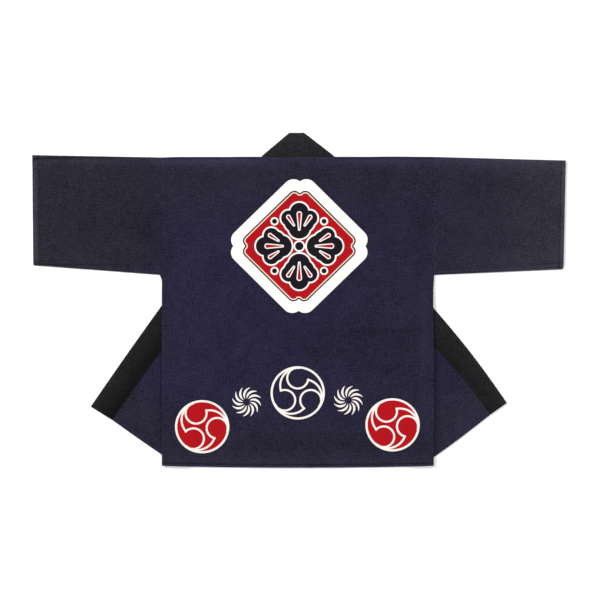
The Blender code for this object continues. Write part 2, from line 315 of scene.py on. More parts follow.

# Painted light and shade, partly uneven dye, in soft stretches: where they run, how wide they are,
# and how much paler they are
PAINTED_LIGHT_AND_SHADE = (
    # x, y, to_x, to_y, width, amount
    # painted light along the shoulders and the tops of the sleeves
    (-345.0, 335.0, -60.0, 336.0, 34.0, 0.45),
    (-350.0, 334.0, -80.0, 334.0, 11.0, 0.52),
    (-60.0, 336.0, 60.0, 336.0, 30.0, 0.26),
    (60.0, 336.0, 345.0, 334.0, 28.0, 0.3),
    (80.0, 334.0, 335.0, 333.0, 11.0, 0.36),
    (-636.0, 334.0, -345.0, 335.0, 20.0, 0.16),
    (-636.0, 333.0, -345.0, 333.0, 9.0, 0.28),
    (345.0, 335.0, 640.0, 324.0, 40.0, 0.36),
    (330.0, 335.0, 640.0, 328.0, 11.0, 0.24),
    (330.0, 335.0, 480.0, 332.0, 22.0, 0.16),
    # on the sleeves
    (-600.0, 210.0, -450.0, 200.0, 130.0, -0.08),
    (-382.0, 240.0, -392.0, 110.0, 60.0, -0.12),
    (-340.0, 290.0, -342.0, 80.0, 52.0, -0.2),
    (-636.0, 300.0, -636.0, 120.0, 12.0, 0.3),
    (-600.0, 96.0, -400.0, 94.0, 12.0, 0.12),
    (-636.0, 82.0, -345.0, 63.0, 8.0, 0.3),
    (370.0, 98.0, 630.0, 104.0, 46.0, 0.22),
    (345.0, 64.0, 636.0, 78.0, 9.0, 0.24),
    (390.0, 230.0, 440.0, 160.0, 70.0, 0.08),
    # on the body
    (288.0, 300.0, 288.0, 90.0, 48.0, -0.13),
    (302.0, 50.0, 304.0, -330.0, 24.0, 0.16),
    (-262.0, 40.0, -250.0, -170.0, 85.0, 0.06),
    (20.0, -60.0, 250.0, -110.0, 120.0, -0.16),
    (150.0, -130.0, 260.0, -190.0, 95.0, -0.1),
    (120.0, -74.0, 270.0, -74.0, 12.0, -0.26),
    (184.0, -160.0, 224.0, -165.0, 12.0, -0.18),
    (0.0, -118.0, 62.0, -130.0, 24.0, -0.14),
    (10.0, -92.0, 140.0, -82.0, 26.0, -0.08),
    (-192.0, -208.0, -150.0, -176.0, 22.0, -0.14),
    (-160.0, -138.0, -100.0, -66.0, 20.0, 0.12),
    (-150.0, -338.0, 170.0, -338.0, 36.0, -0.16),
    (-300.0, -366.0, 300.0, -366.0, 9.0, 0.12),
    (-320.0, -382.0, 310.0, -382.0, 10.0, 0.2),
    # on the turned fronts
    (345.0, -228.0, 418.0, -246.0, 12.0, 0.2),
    (360.0, -310.0, 430.0, -262.0, 78.0, 0.3),
    (345.0, -352.0, 440.0, -290.0, 40.0, 0.14),
    (345.0, -120.0, 375.0, -190.0, 30.0, -0.12),
    # painted light that lifts the body's shadow on the right flap beside its edge
    (326.0, -30.0, 326.0, -396.0, 5.0, 0.35),
    (-372.0, -350.0, -300.0, -270.0, 60.0, -0.08),
    (-470.0, -280.0, -330.0, -374.0, 18.0, 0.24),
)

# Unevenness of the cloth: wavelength, height, and the level that its noise is taken at
BROAD_WAVES = (105.0, 0.55, 3.7)
FINE_WAVES = (19.0, 0.10, 11.3)

# The photograph's frame: what a pixel is across, and where its middle lies on the coat
PIXEL = 2.4
FRAME_PIXELS = 600
FRAME_MIDDLE = (2.4, 0.84)
CAMERA_HEIGHT = 4200.0
SENSOR = 36.0

# Linear colours
NAVY = (0.0140, 0.0125, 0.0280, 1.0)
NAVY_TINT = (0.0140, 0.0120, 0.0340, 1.0)
GREY_NAVY = (0.0144, 0.0131, 0.0240, 1.0)
GREY_TINT = (0.0142, 0.0126, 0.0272, 1.0)
LEFT_SLEEVE_NAVY = (0.0138, 0.0136, 0.0212, 1.0)
LEFT_SLEEVE_TINT = (0.0138, 0.0130, 0.0236, 1.0)
RIGHT_SLEEVE_NAVY = (0.0150, 0.0143, 0.0238, 1.0)
RIGHT_SLEEVE_TINT = (0.0150, 0.0138, 0.0276, 1.0)
LEFT_CUFF_NAVY = (0.0156, 0.0152, 0.0228, 1.0)
RIGHT_CUFF_NAVY = (0.0224, 0.0214, 0.0308, 1.0)
COLLAR_BLACK = (0.0040, 0.0040, 0.0048, 1.0)
COLLAR_TINT = (0.0046, 0.0044, 0.0050, 1.0)
# The collar's paler black: worn at its fold, and painted light and shade across it from its seam
COLLAR_FADED = (0.0163, 0.0163, 0.0178, 1.0)
PRINT_WHITE = (0.74, 0.74, 0.71, 1.0)
PRINT_WARM = (0.74, 0.69, 0.65, 1.0)
PRINT_CREAM = (0.68, 0.60, 0.47, 1.0)
PRINT_RED = (0.345, 0.0040, 0.0075, 1.0)
PRINT_BLACK = (0.0080, 0.0065, 0.0100, 1.0)
FLOOR_WHITE = (0.93, 0.93, 0.93, 1.0)

# How much paler worn cloth is, how uneven its dye is, and how strongly its threads show
FADE_GAIN = 1.6
MOTTLE = 0.6
GRAIN = 2.2

# Threads to the metre
BODY_THREADS = 1500.0
COLLAR_THREADS = 1250.0


def smooth_step(t):
    """0 below 0, 1 above 1, and an S between them."""
    t = min(max(t, 0.0), 1.0)
    return t * t * (3.0 - 2.0 * t)


def ramp(distance, keep, fall):
    """1 up to a distance of keep, then down to 0 over fall."""
    return 1.0 - smooth_step((distance - keep) / fall)


def cross(a, b):
    """The cross product of two flat vectors, positive where b is turned anticlockwise from a."""
    return a.x * b.y - a.y * b.x


def points_of(row):
    """A front's row of the table, with its places as vectors."""
    return {key: Vector(value) if isinstance(value, tuple) else value for key, value in row.items()}


fronts = {side: points_of(row) for side, row in FRONTS.items()}


def outside(front, point, start, end):
    """How far a point lies from the line start to end, positive on the side away from the body."""
    along = (end - start).normalized()
    return -front["hand"] * cross(along, point - start)


def past_fold(front, point):
    """How far a point lies past a front's fold, towards the middle of the coat."""
    return -outside(front, point, front["fold_top"], front["fold_hem"])


def past_seam(front, point):
    """How far a point lies past the collar seam of the turned half, towards its fold."""
    return -outside(front, point, front["fold_top"], front["band_hem"])


def past_edge(front, point):
    """How far a point lies past the free edge of the turned half, away from the body."""
    return outside(front, point, front["turn"], front["out"])


def share_along(point, start, end):
    """How far along a straight stretch a point lies: 0 at its start, 1 at its end."""
    along = end - start
    return min(max((point - start).dot(along) / along.length_squared, 0.0), 1.0)


def distance_to_stretch(point, start, end):
    """How far a point is from a straight stretch."""
    return (point - start - share_along(point, start, end) * (end - start)).length


def front_rest(front, point):
    """The height of the underside of a front's upper layer, which lies on its turned half."""
    edge = past_edge(front, point)
    band = max(edge, past_seam(front, point))
    on_panel = LAYER * ramp(edge, EDGE_KEEP, EDGE_FALL)
    return on_panel + (BAND - CLOTH) * ramp(band, EDGE_KEEP, EDGE_FALL)


def back_rest(point):
    """The height of the back's underside: on the fronts, on the collar's turns, or on the floor."""
    heights = [0.0]
    for front in fronts.values():
        on_front = front_rest(front, point) + LAYER
        heights.append(on_front * ramp(past_fold(front, point), FOLD_KEEP, EDGE_FALL))
        neck_side = (front["neck"] + front["turn"]) / 2
        from_turns = distance_to_stretch(point, neck_side, front["fold_top"])
        heights.append(2 * (BAND + GAP) * ramp(from_turns, NECK_KEEP, NECK_FALL))
    return max(heights)


def hem_sag(point):
    """The body's hem hangs lowest in the middle, and the sag fades out above it."""
    width = SIDE_RIGHT - SIDE_LEFT
    across = max(0.0, math.sin(math.pi * (point.x - SIDE_LEFT) / width))
    return -HEM_SAG * across**HEM_SAG_POWER * ramp(point.y - HEM, 0.0, HEM_SAG_REACH)


def beside_row(point, row):
    """How far along a table row's stretch a point lies, and 1 on it down to 0 a width away."""
    start, end, width = Vector(row[0:2]), Vector(row[2:4]), row[4]
    t = share_along(point, start, end)
    off = (point - start - t * (end - start)).length
    if off > width:
        return t, 0.0
    return t, 0.5 + 0.5 * math.cos(math.pi * off / width)


def swelling(point, rows):
    """The sum at a point of soft stretches that swell and fade along their own length."""
    total = 0.0
    for row in rows:
        t, near = beside_row(point, row)
        if near > 0.0:
            total += row[5] * (AT_ENDS + (1.0 - AT_ENDS) * math.sin(math.pi * t)) * near
    return total


def lift(point):
    """How far unevenness lifts every layer at a place above the flat."""
    wave, height, level = BROAD_WAVES
    broad = height * (0.5 + 0.5 * noise.noise(Vector((point.x / wave, point.y / wave, level))))
    return broad + swelling(point, RIDGES)


def curl(point):
    """How far the body's sides and hem curl up at a place."""
    return swelling(point, CURLS)


def crease_share(point, row):
    """How much of a crease there is at a place: all of it along its start, less to its end."""
    t, near = beside_row(point, row)
    return (1.0 - row[7] * smooth_step(t)) * near


def surface(point, creases=()):
    """The fine creases and waves of what shows, on top of the lift. It is never below 0."""
    wave, height, level = FINE_WAVES
    fine = height * noise.noise(Vector((point.x / wave, point.y / wave, level)))
    pressed = sum(row[5] * crease_share(point, row) for row in creases)
    return max(0.0, CREASE_ROOM + fine - pressed)


def painted_crease_shade(point, creases):
    """How much painted shade darkens the cloth in its creases at a place."""
    return sum(row[6] * crease_share(point, row) for row in creases)


def flat_cloth(low_x, high_x, low_y, high_y):
    """A flat mesh over a rectangle. All panels share one lattice, so that layers match."""
    first_x, last_x = math.floor(low_x / MESH), math.ceil(high_x / MESH)
    first_y, last_y = math.floor(low_y / MESH), math.ceil(high_y / MESH)
    middle = Vector(((first_x + last_x) / 2, (first_y + last_y) / 2, 0.0)) * MESH
    spread = Matrix.Diagonal(((last_x - first_x) * MESH, (last_y - first_y) * MESH, 1.0, 1.0))
    mesh = bmesh.new()
    bmesh.ops.create_grid(
        mesh,
        x_segments=last_x - first_x,
        y_segments=last_y - first_y,
        size=0.5,
        matrix=Matrix.Translation(middle) @ spread,
    )
    return mesh


def cut_line(mesh, point, toward, trim=False):
    """Cut the cloth along the line through a point. With trim, what lies toward goes."""
    bmesh.ops.bisect_plane(
        mesh,
        geom=mesh.verts[:] + mesh.edges[:] + mesh.faces[:],
        dist=0.01,
        plane_co=Vector((point.x, point.y, 0.0)),
        plane_no=Vector((toward.x, toward.y, 0.0)),
        clear_outer=trim,
    )


def normal_of(start, end, away_from):
    """The unit normal of a line, on the side that away_from isn't on."""
    along = (end - start).normalized()
    normal = Vector((-along.y, along.x))
    return -normal if (away_from - start).dot(normal) > 0 else normal


def trim_to(mesh, corners):
    """Trim the cloth to a convex outline."""
    middle = sum(corners, Vector((0.0, 0.0))) / len(corners)
    for index, corner in enumerate(corners):
        following = corners[(index + 1) % len(corners)]
        cut_line(mesh, corner, normal_of(corner, following, middle), trim=True)


def cut_fold(mesh, start, toward):
    """Cut the lines along which the cloth bends when it is folded over a line."""
    for step in range(FOLD_STEPS + 1):
        distance = FOLD_HALF * (2.0 * step / FOLD_STEPS - 1.0)
        cut_line(mesh, start + toward * distance, toward)


def fold_under(point, start, normal, upper, lower):
    """A flat point's place once the cloth past a line is turned under: x, y and z.

    upper and lower give the height of the cloth's middle before and after the fold.
    """
    past = (point - start).dot(normal)
    if past <= -FOLD_HALF:
        return point.x, point.y, upper(point)
    foot = point - normal * past
    if past >= FOLD_HALF:
        place = foot - normal * past
        return place.x, place.y, lower(place)
    turn = math.pi * (past + FOLD_HALF) / (2.0 * FOLD_HALF)
    top = upper(foot)
    bottom = lower(foot)
    radius = (top - bottom) / 2.0
    place = foot + normal * (radius * math.sin(turn) - FOLD_HALF)
    return place.x, place.y, bottom + radius * (1.0 + math.cos(turn))


class Border:
    """A straight border of a piece's flat cut, with the depth of the hem along it, if any."""

    def __init__(self, start, end, inside, hem=0.0, wear=1.0, sewn=0.0, hem_wear=HEM_WEAR):
        self.start = Vector(start)
        self.end = Vector(end)
        self.outward = normal_of(self.start, self.end, Vector(inside))
        self.hem = hem
        self.wear = wear
        # sewn is how much painted shade darkens the line that the hem is sewn on
        self.sewn = sewn
        self.hem_wear = hem_wear

    def distance(self, point):
        """How far a point is from the border."""
        return distance_to_stretch(point, self.start, self.end)

    def cut(self, mesh):
        """Cut the cloth beside the border and its hem's stitches, so that both are crisp."""
        sewn = self.hem - STITCH_INSET
        groove = tuple(sewn + step for step in GROOVE_CUTS) if self.hem else ()
        for line in (*BORDER_CUTS, *groove):
            cut_line(mesh, self.start - self.outward * line, self.outward)

    def beside_stitches(self, distance, reach):
        """1 on the line that the hem is sewn on, down to 0 a reach away."""
        return max(0.0, 1.0 - abs(distance - self.hem + STITCH_INSET) / reach)

    def share(self, point):
        """The wall's share of its full thickness beside this border."""
        if not self.hem:
            return PLAIN_SHARE
        distance = self.distance(point)
        doubled = ramp(distance, self.hem - HEM_STEP / 3.0, HEM_STEP)
        thick = PLAIN_SHARE + (HEM_SHARE - PLAIN_SHARE) * doubled
        return thick + (SEWN_SHARE - thick) * self.beside_stitches(distance, GROOVE)

    def wear_and_painted_shade(self, point):
        """How far the dye has faded beside this border and over its hem, less where it is sewn, and
        below 0 on the sewn line, where painted shade darkens it.
        """
        distance = self.distance(point)
        rubbed = self.wear * ramp(distance, RUBBED_KEEP, RUBBED_FALL)
        if not self.hem:
            return rubbed
        pressed = self.hem_wear * self.wear * ramp(distance, self.hem - STITCH_INSET, HEM_WEAR_FALL)
        sewn = self.beside_stitches(distance, PAINTED_SHADE_GROOVE)
        return max(rubbed, pressed) * (1.0 - sewn) - self.sewn * sewn


def cut_creases(mesh, creases):
    """Cut the cloth along its creases and beside them, so that they are crisp."""
    for x, y, to_x, to_y, width, *_ in creases:
        start = Vector((x, y))
        normal = Vector((y - to_y, to_x - x)).normalized()
        for step in CREASE_CUTS:
            cut_line(mesh, start + normal * width * step, normal)


def finish_layers(mesh):
    """The layers for each point's place on the cut, its wear with painted shade below 0, its tone of
    painted light and shade, and its wall.
    """
    cut = mesh.verts.layers.float_vector.new("cut")
    wear_and_painted_shade = mesh.verts.layers.float.new("wear_and_painted_shade")
    tone = mesh.verts.layers.float.new("tone")
    return cut, wear_and_painted_shade, tone, mesh.verts.layers.deform.verify()


def give_finish(mesh, borders, creases, laid=None, printed_at=tuple):
    """Store each flat point's place on the cut, its tone of painted light and shade, its wear with
    the painted shade of its creases, and the wall's thickness.

    laid gives where a flat point lies once its half is turned under, and printed_at the place
    that its weave and prints go by.
    """
    cut, wear_and_painted_shade, tone, wall = finish_layers(mesh)
    for vertex in mesh.verts:
        point = vertex.co.to_2d()
        vertex[cut] = Vector((*printed_at(point), 0.0)) * MM
        wears = [border.wear_and_painted_shade(point) for border in borders]
        shown = min(wears) if min(wears) < 0.0 else max(wears)
        # Below 0, the wear is painted shade, in the creases and on the lines that hems are sewn on
        vertex[wear_and_painted_shade] = shown - (1.0 + max(shown, 0.0)) * painted_crease_shade(point, creases)
        # The tone is painted light and shade, partly uneven dye
        vertex[tone] = swelling(laid(point) if laid else point, PAINTED_LIGHT_AND_SHADE)
        near = min(borders, key=lambda border: border.distance(point) - border.hem)
        vertex[wall][0] = near.share(point)


def triangulate(mesh):
    """Split the faces while they are flat, so that panels cut alike are split alike."""
    bmesh.ops.triangulate(mesh, faces=mesh.faces[:], quad_method="FIXED", ngon_method="BEAUTY")


def place_points(mesh, place):
    """Move each flat point to the x, y and z that place gives, and turn millimetres to metres."""
    for vertex in mesh.verts:
        vertex.co = Vector(place(vertex.co.to_2d())) * MM


def add_object(name, data):
    """An object in the scene for a mesh, light or camera."""
    obj = bpy.data.objects.new(name, data)
    bpy.context.scene.collection.objects.link(obj)
    return obj


def add_wall(name, mesh, thickness, material, node):
    """Make a piece of a sheet, give it its wall with rounded edges, and hide the solid that it stands
    in for.
    """
    bmesh.ops.recalc_face_normals(mesh, faces=mesh.faces[:])
    data = bpy.data.meshes.new(name)
    mesh.to_mesh(data)
    mesh.free()
    data.materials.append(material)
    obj = add_object(name, data)
    obj.vertex_groups.new(name="wall")
    wall = obj.modifiers.new("wall", "SOLIDIFY")
    wall.thickness = thickness * MM
    wall.offset = 0.0
    wall.vertex_group = "wall"
    edge = obj.modifiers.new("edge", "BEVEL")
    edge.width = EDGE_ROUND * CLOTH * MM
    edge.segments = 3
    edge.limit_method = "ANGLE"
    edge.angle_limit = EDGE_ANGLE
    normals = obj.modifiers.new("normals", "WEIGHTED_NORMAL")
    normals.keep_sharp = False
    data.shade_smooth()
    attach(obj, "root")
    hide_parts(node)
    return obj


def mirrored(row, start, toward):
    """A crease's row, moved to where it lies on the flat before the cloth is folded over a line."""
    places = []
    for x, y in (row[0:2], row[2:4]):
        point = Vector((x, y))
        places.extend(point - 2.0 * (point - start).dot(toward) * toward)
    return (*places, *row[4:])


def folded_cloth(upper, turned, start, toward, borders, creases=(), turned_creases=()):
    """Flat cloth cut to two convex outlines that meet at a fold, with the fold's lines in it."""

    def laid(point):
        return point - 2.0 * max(0.0, (point - start).dot(toward)) * toward

    turned_creases = [mirrored(row, start, toward) for row in turned_creases]
    mesh = bmesh.new()
    for corners in (upper, turned):
        across = [corner.x for corner in corners]
        down = [corner.y for corner in corners]
        half = flat_cloth(min(across), max(across), min(down), max(down))
        for border in borders:
            border.cut(half)
        cut_creases(half, creases if corners is upper else turned_creases)
        cut_fold(half, start, toward)
        trim_to(half, corners)
        triangulate(half)
        half_data = bpy.data.meshes.new("half")
        half.to_mesh(half_data)
        half.free()
        mesh.from_mesh(half_data)
        bpy.data.meshes.remove(half_data)
    bmesh.ops.remove_doubles(mesh, verts=mesh.verts[:], dist=WELD)
    give_finish(mesh, borders, (*creases, *turned_creases), laid)
    return mesh


def drawn_down(distance):
    """How far a top layer is drawn down beside the seam that joins it to the one below."""
    return 0.5 * GAP * ramp(distance, 0.0, SEAM_REACH)


def settled(point):
    """Where a place of the body's cut comes to lie, as the coat was laid by hand."""
    across = 0.0
    along = hem_sag(point)
    below = UNDERARM - point.y
    if below > 0.0:
        curve = UNDERARM_CURVE * ramp(below, UNDERARM_KEEP, UNDERARM_FALL)
        across -= curve * ramp(point.x - SIDE_LEFT, 0.0, SIDE_REACH)
        bow = SIDE_BOW * math.sin(math.pi * min(1.0, below / SIDE_BOW_REACH))
        inward = (SIDE_INWARD + bow) * smooth_step(below / SIDE_REACH)
        across -= inward * ramp(SIDE_RIGHT - point.x, 0.0, SIDE_REACH)
    for x, half_width, height in SHOULDER_DIPS:
        near = ramp(abs(point.x - x), 0.0, half_width)
        along += height * near * ramp(SHOULDER - point.y, 0.0, SIDE_REACH)
    return point.x + across, point.y + along


def place_back(point):
    """Where a flat point of the back comes to lie."""
    from_seam = min(point.x - SIDE_LEFT, SIDE_RIGHT - point.x, SHOULDER - point.y)
    relief = lift(point) + curl(point) + surface(point, CREASES["back"]) - drawn_down(from_seam)
    return (*settled(point), back_rest(point) + CLOTH / 2 + relief)


def build_back(material):
    """The back: one straight panel that lies over the fronts and sinks to the floor between them."""
    corners = [
        Vector((SIDE_LEFT, HEM)),
        Vector((SIDE_RIGHT, HEM)),
        Vector((SIDE_RIGHT, SHOULDER)),
        Vector((SIDE_LEFT, SHOULDER)),
    ]
    middle = (0.0, 0.0)
    borders = [
        Border(corners[0], corners[1], middle, HEM_BAND, sewn=0.15),
        Border(corners[1], corners[2], middle, wear=0.0),
        Border(corners[2], corners[3], middle, wear=0.4),
        Border(corners[3], corners[0], middle, wear=0.2),
    ]
    mesh = flat_cloth(SIDE_LEFT, SIDE_RIGHT, HEM, SHOULDER)
    for border in borders:
        border.cut(mesh)
    cut_creases(mesh, CREASES["back"])
    trim_to(mesh, corners)
    triangulate(mesh)
    give_finish(mesh, borders, CREASES["back"], printed_at=settled)
    place_points(mesh, place_back)
    return add_wall("back_cloth", mesh, CLOTH, material, "back")


def seam_bow(front, t):
    """How far the collar seam curves outward, a share t of the way down the turned half."""
    if t <= SEAM_BOW_FROM:
        return 0.0
    return front["seam_bow"] * math.sin(math.pi * (t - SEAM_BOW_FROM) / (1.0 - SEAM_BOW_FROM))


def bowed(front, x, y, z):
    """Shift a point of the turned half with the bows of its hem and of the collar seam beside it."""
    point = Vector((x, y))
    hem_start, hem_end = front["fold_hem"], front["band_hem"]
    below = normal_of(hem_start, hem_end, front["fold_top"])
    t = share_along(point, hem_start, hem_end)
    near = ramp((hem_start - point).dot(below), 0.0, HEM_BOW_REACH)
    point += below * (front["hem_bow"] * math.sin(math.pi * t) * near)
    start, end = front["fold_top"], front["band_hem"]
    t = (point - start).dot(end - start) / (end - start).length_squared
    fade = max(0.0, 1.0 - past_seam(front, point) / SEAM_BOW_REACH)
    normal = normal_of(start, end, front["fold_hem"])
    shifted = point + normal * seam_bow(front, t) * fade
    return shifted.x, shifted.y, z


def front_toward(front):
    """The direction across a front's fold, from its side half to its free half."""
    return normal_of(front["fold_top"], front["fold_hem"], Vector((front["side"], HEM)))


def unfolded_hem(front):
    """Where the free half's corner at the hem and the collar lies on the flat cut."""
    toward = front_toward(front)
    past = (front["band_hem"] - front["fold_top"]).dot(toward)
    return front["band_hem"] - 2.0 * past * toward


def place_front(side, point):
    """Where a flat point of a front comes to lie."""
    front = fronts[side]
    toward = front_toward(front)

    def upper(flat):
        return front_rest(front, flat) + CLOTH / 2 + lift(flat) + curl(flat)

    def lower(laid):
        return CLOTH / 2 + lift(laid) + surface(laid, CREASES["front_" + side])

    x, y, z = fold_under(point, front["fold_top"], toward, upper, lower)
    if (point - front["fold_top"]).dot(toward) > 0.0:
        return bowed(front, x, y, z)
    return (*settled(Vector((x, y))), z)


def build_front(side, front, material):
    """A front: its side half lies face down, and its free half is turned out under it."""
    start, end, far = front["fold_top"], front["fold_hem"], unfolded_hem(front)
    hem_corner = Vector((front["side"], HEM))
    shoulder_corner = Vector((front["side"], SHOULDER))
    upper_half = [shoulder_corner, front["neck"], start, end, hem_corner]
    turned_half = [start, far, end]
    middle = (start + end) / 2
    borders = [
        Border(hem_corner, end, middle, HEM_BAND, wear=0.25),
        Border(hem_corner, shoulder_corner, middle, wear=0.0),
        Border(shoulder_corner, front["neck"], middle, wear=0.0),
        Border(start, far, end, wear=0.0),
    ]
    name = "front_" + side
    halves = (upper_half, turned_half)
    mesh = folded_cloth(*halves, start, front_toward(front), borders, turned_creases=CREASES[name])
    place_points(mesh, lambda point: place_front(side, point))
    return add_wall(name + "_cloth", mesh, CLOTH, material, name)


def sleeve_lines(sleeve):
    """A sleeve's corners on the flat: the fold, the upper layer's lower edge and the far edge."""
    armhole = sleeve["side"] + sleeve["hand"] * LAP
    fold_start = Vector((armhole, sleeve["top_armhole"]))
    fold_end = Vector((sleeve["cuff"], sleeve["top_cuff"]))
    low_start = Vector((armhole, sleeve["low_armhole"]))
    low_end = Vector((sleeve["cuff"], sleeve["low_cuff"]))
    upward = normal_of(fold_start, fold_end, low_start)

    def unfolded(point):
        return point + 2.0 * (fold_start - point).dot(upward) * upward

    upper_low_start = low_start + Vector((0.0, sleeve["shows_armhole"]))
    upper_low_end = low_end + Vector((0.0, sleeve["shows_cuff"]))
    upper = [upper_low_start, upper_low_end, fold_end, fold_start]
    turned = [fold_start, fold_end, unfolded(low_end), unfolded(low_start)]
    return upper, turned, upward


def round_corner(corners, index, size):
    """An outline with one of its corners rounded off."""
    corner = corners[index]
    before = corner + (corners[index - 1] - corner).normalized() * size
    after = corner + (corners[index + 1] - corner).normalized() * size
    arc = []
    for step in range(CORNER_STEPS + 1):
        t = step / CORNER_STEPS
        arc.append(before.lerp(corner, t).lerp(corner.lerp(after, t), t))
    return corners[:index] + arc + corners[index + 1:]


def place_sleeve(side, sleeve, point):
    """Where a flat point of a sleeve comes to lie."""
    upper_corners, _, upward = sleeve_lines(sleeve)
    low_start, low_end = upper_corners[:2]
    to_seam = (low_end - low_start).normalized()
    drawn = drawn_down(abs(cross(to_seam, point - low_start)))

    def upper(flat):
        creased = surface(flat, CREASES["sleeve_" + side])
        return LAYER + CLOTH / 2 + lift(flat) + creased - drawn

    def lower(laid):
        return CLOTH / 2 + lift(laid)

    x, y, z = fold_under(point, upper_corners[3], upward, upper, lower)
    along = (x - sleeve["side"]) / (sleeve["cuff"] - sleeve["side"])
    below = (sleeve["top_cuff"] - y) / (sleeve["top_cuff"] - sleeve["low_cuff"])
    return x + sleeve["cuff_slant"] * along * below, y, z


def build_sleeve(side, sleeve, material):
    """A sleeve: one straight piece folded along its top, its lower layer showing a little below."""
    upper, turned, upward = sleeve_lines(sleeve)
    middle = (upper[0] + upper[2]) / 2
    band = sleeve["cuff_band"]
    borders = [
        Border(upper[1], upper[2], middle, band, sewn=0.8, hem_wear=CUFF_WEAR),
        Border(turned[1], turned[2], middle, band, sewn=0.8, hem_wear=CUFF_WEAR),
        Border(upper[0], upper[1], middle, wear=0.4),
        Border(upper[0], upper[3], middle, wear=sleeve["armhole_wear"]),
        # the lower layer's strip is paler: worn, and painted light that lifts the upper edge's shadow
        # on it
        Border(turned[2], turned[3], middle, wear=1.6),
        Border(turned[0], turned[1], middle, wear=0.7),
    ]
    name = "sleeve_" + side
    upper_half = round_corner(upper, 1, sleeve["corner"])
    turned_half = round_corner(turned, 2, sleeve["corner"])
    mesh = folded_cloth(upper_half, turned_half, upper[3], upward, borders, CREASES[name])
    place_points(mesh, lambda point: place_sleeve(side, sleeve, point))
    return add_wall(name + "_cloth", mesh, CLOTH, material, name)


def bend(seam, edge, toward, first, last):
    """Sections round a fold from one height to another, bulging toward a point."""
    normal = -normal_of(seam, edge, toward)
    radius = (last - first) / 2
    sections = []
    for step in range(FOLD_STEPS + 1):
        turn = math.pi * step / FOLD_STEPS
        bulge = normal * radius * math.sin(turn)
        height = (first + last) / 2 - radius * math.cos(turn)
        sections.append((seam + bulge, edge + bulge, height))
    return sections


def band_sections(front):
    """The collar's crosswise sections from a front's hem to the middle of the neck.

    Each is its end on the seam, its end on the free edge, and its height.
    """
    hand = front["hand"]
    middle = (fronts["left"]["neck"].x + fronts["right"]["neck"].x) / 2
    low = BAND / 2
    high = low + BAND + GAP
    start, end = front["fold_top"], front["band_hem"]
    seam_out = normal_of(start, end, front["fold_hem"])
    hem_run = (front["tip"] - front["out"]).length
    out_share = 1.0 - hem_run / (hem_run + (front["out"] - front["turn"]).length)
    edge_out = normal_of(front["out"], front["tip"], front["fold_hem"])
    fold_seam = start + (front["turn"] - start).normalized() * SEAM_CORNER

    def on_seam(t):
        if t == 0.0:
            return fold_seam
        lapped = smooth_step(t / LAP_SHARE) * (GAP + LAP)
        return start.lerp(end, t) + seam_out * (GAP - lapped + seam_bow(front, t))

    def on_edge(t):
        if t <= out_share:
            return front["turn"].lerp(front["out"], t / out_share)
        t = (t - out_share) / (1.0 - out_share)
        bow = front["edge_bow"] * math.sin(math.pi * t)
        reach = (front["tip"] - front["out"]).normalized() * front["end_reach"]
        reach *= smooth_step((t - END_REACH_FROM) / (1.0 - END_REACH_FROM))
        return front["out"].lerp(front["tip"], t) + edge_out * bow + reach

    sections = []
    for row in range(BAND_ROWS):
        t = 1.0 - row / BAND_ROWS
        sections.append((on_seam(t), on_edge(t), low))
    sections += bend(fold_seam, front["turn"], Vector((middle, HEM)), low, high)

    top = back_rest(front["neck"]) + BAND / 2
    slope = front["mitre"] - front["neck"]
    inset = hand * (top - high) / 2 * slope.length / slope.y
    neck_seam = front["neck"] + Vector((inset, GAP))
    neck_edge = front["mitre"] + Vector((inset, 0.0))
    for row in range(1, TURN_ROWS):
        t = row / TURN_ROWS
        seam = fold_seam.lerp(neck_seam, t)
        sections.append((seam, front["turn"].lerp(neck_edge, t), high))

    outward = Vector((front["neck"].x, front["mitre"].y))
    rise = Vector((0.0, NECK_RISE))
    for step, (seam, edge, height) in enumerate(bend(neck_seam, neck_edge, outward, high, top)):
        sections.append((seam, edge + rise * step / FOLD_STEPS, height))

    for row in range(1, NECK_ROWS + 1):
        t = row / NECK_ROWS
        lapped = smooth_step(t / NECK_LAP_SHARE) * (GAP + LAP)
        seam = neck_seam.lerp(Vector((middle, SHOULDER + GAP)), t) - Vector((0.0, lapped))
        edge = rise + neck_edge.lerp(Vector((middle, front["mitre"].y)), t)
        sections.append((seam, edge, back_rest(seam) + BAND / 2))
    return sections


def band_share(share):
    """The collar's thickness across it: thin at the seam, full in the middle, rounded at its fold."""
    if share >= ROUNDS_FROM:
        return ROUNDS_AT - ROUNDS_BY * (share - ROUNDS_FROM)
    return 0.5 + 0.5 * math.sin(math.pi * min(1.0, SEAM_PHASE + SEAM_SWELL * share) / 2)


def collar_wear_and_shade(point, share, width):
    """How much paler the collar is at a place, a share of its width across it: worn at its fold, with
    painted shade by its seam.
    """
    at_fold = EDGE_FADE * ramp((1.0 - share) * width, EDGE_FADE_KEEP, EDGE_FADE_FALL)
    at_neck = smooth_step((point.y - SHOULDER + NECK_FADE_REACH) / NECK_FADE_REACH)
    at_right = smooth_step(point.x / RIGHT_FADE_REACH) * (1.0 - at_neck)
    everywhere = NECK_FADE * at_neck + RIGHT_FADE * at_right
    across = PAINTED_SHADE_ACROSS - LESS_AT_NECK * at_neck - LESS_AT_RIGHT * at_right
    return at_fold + everywhere + across * max(0.0, share - PAINTED_SHADE_FROM)


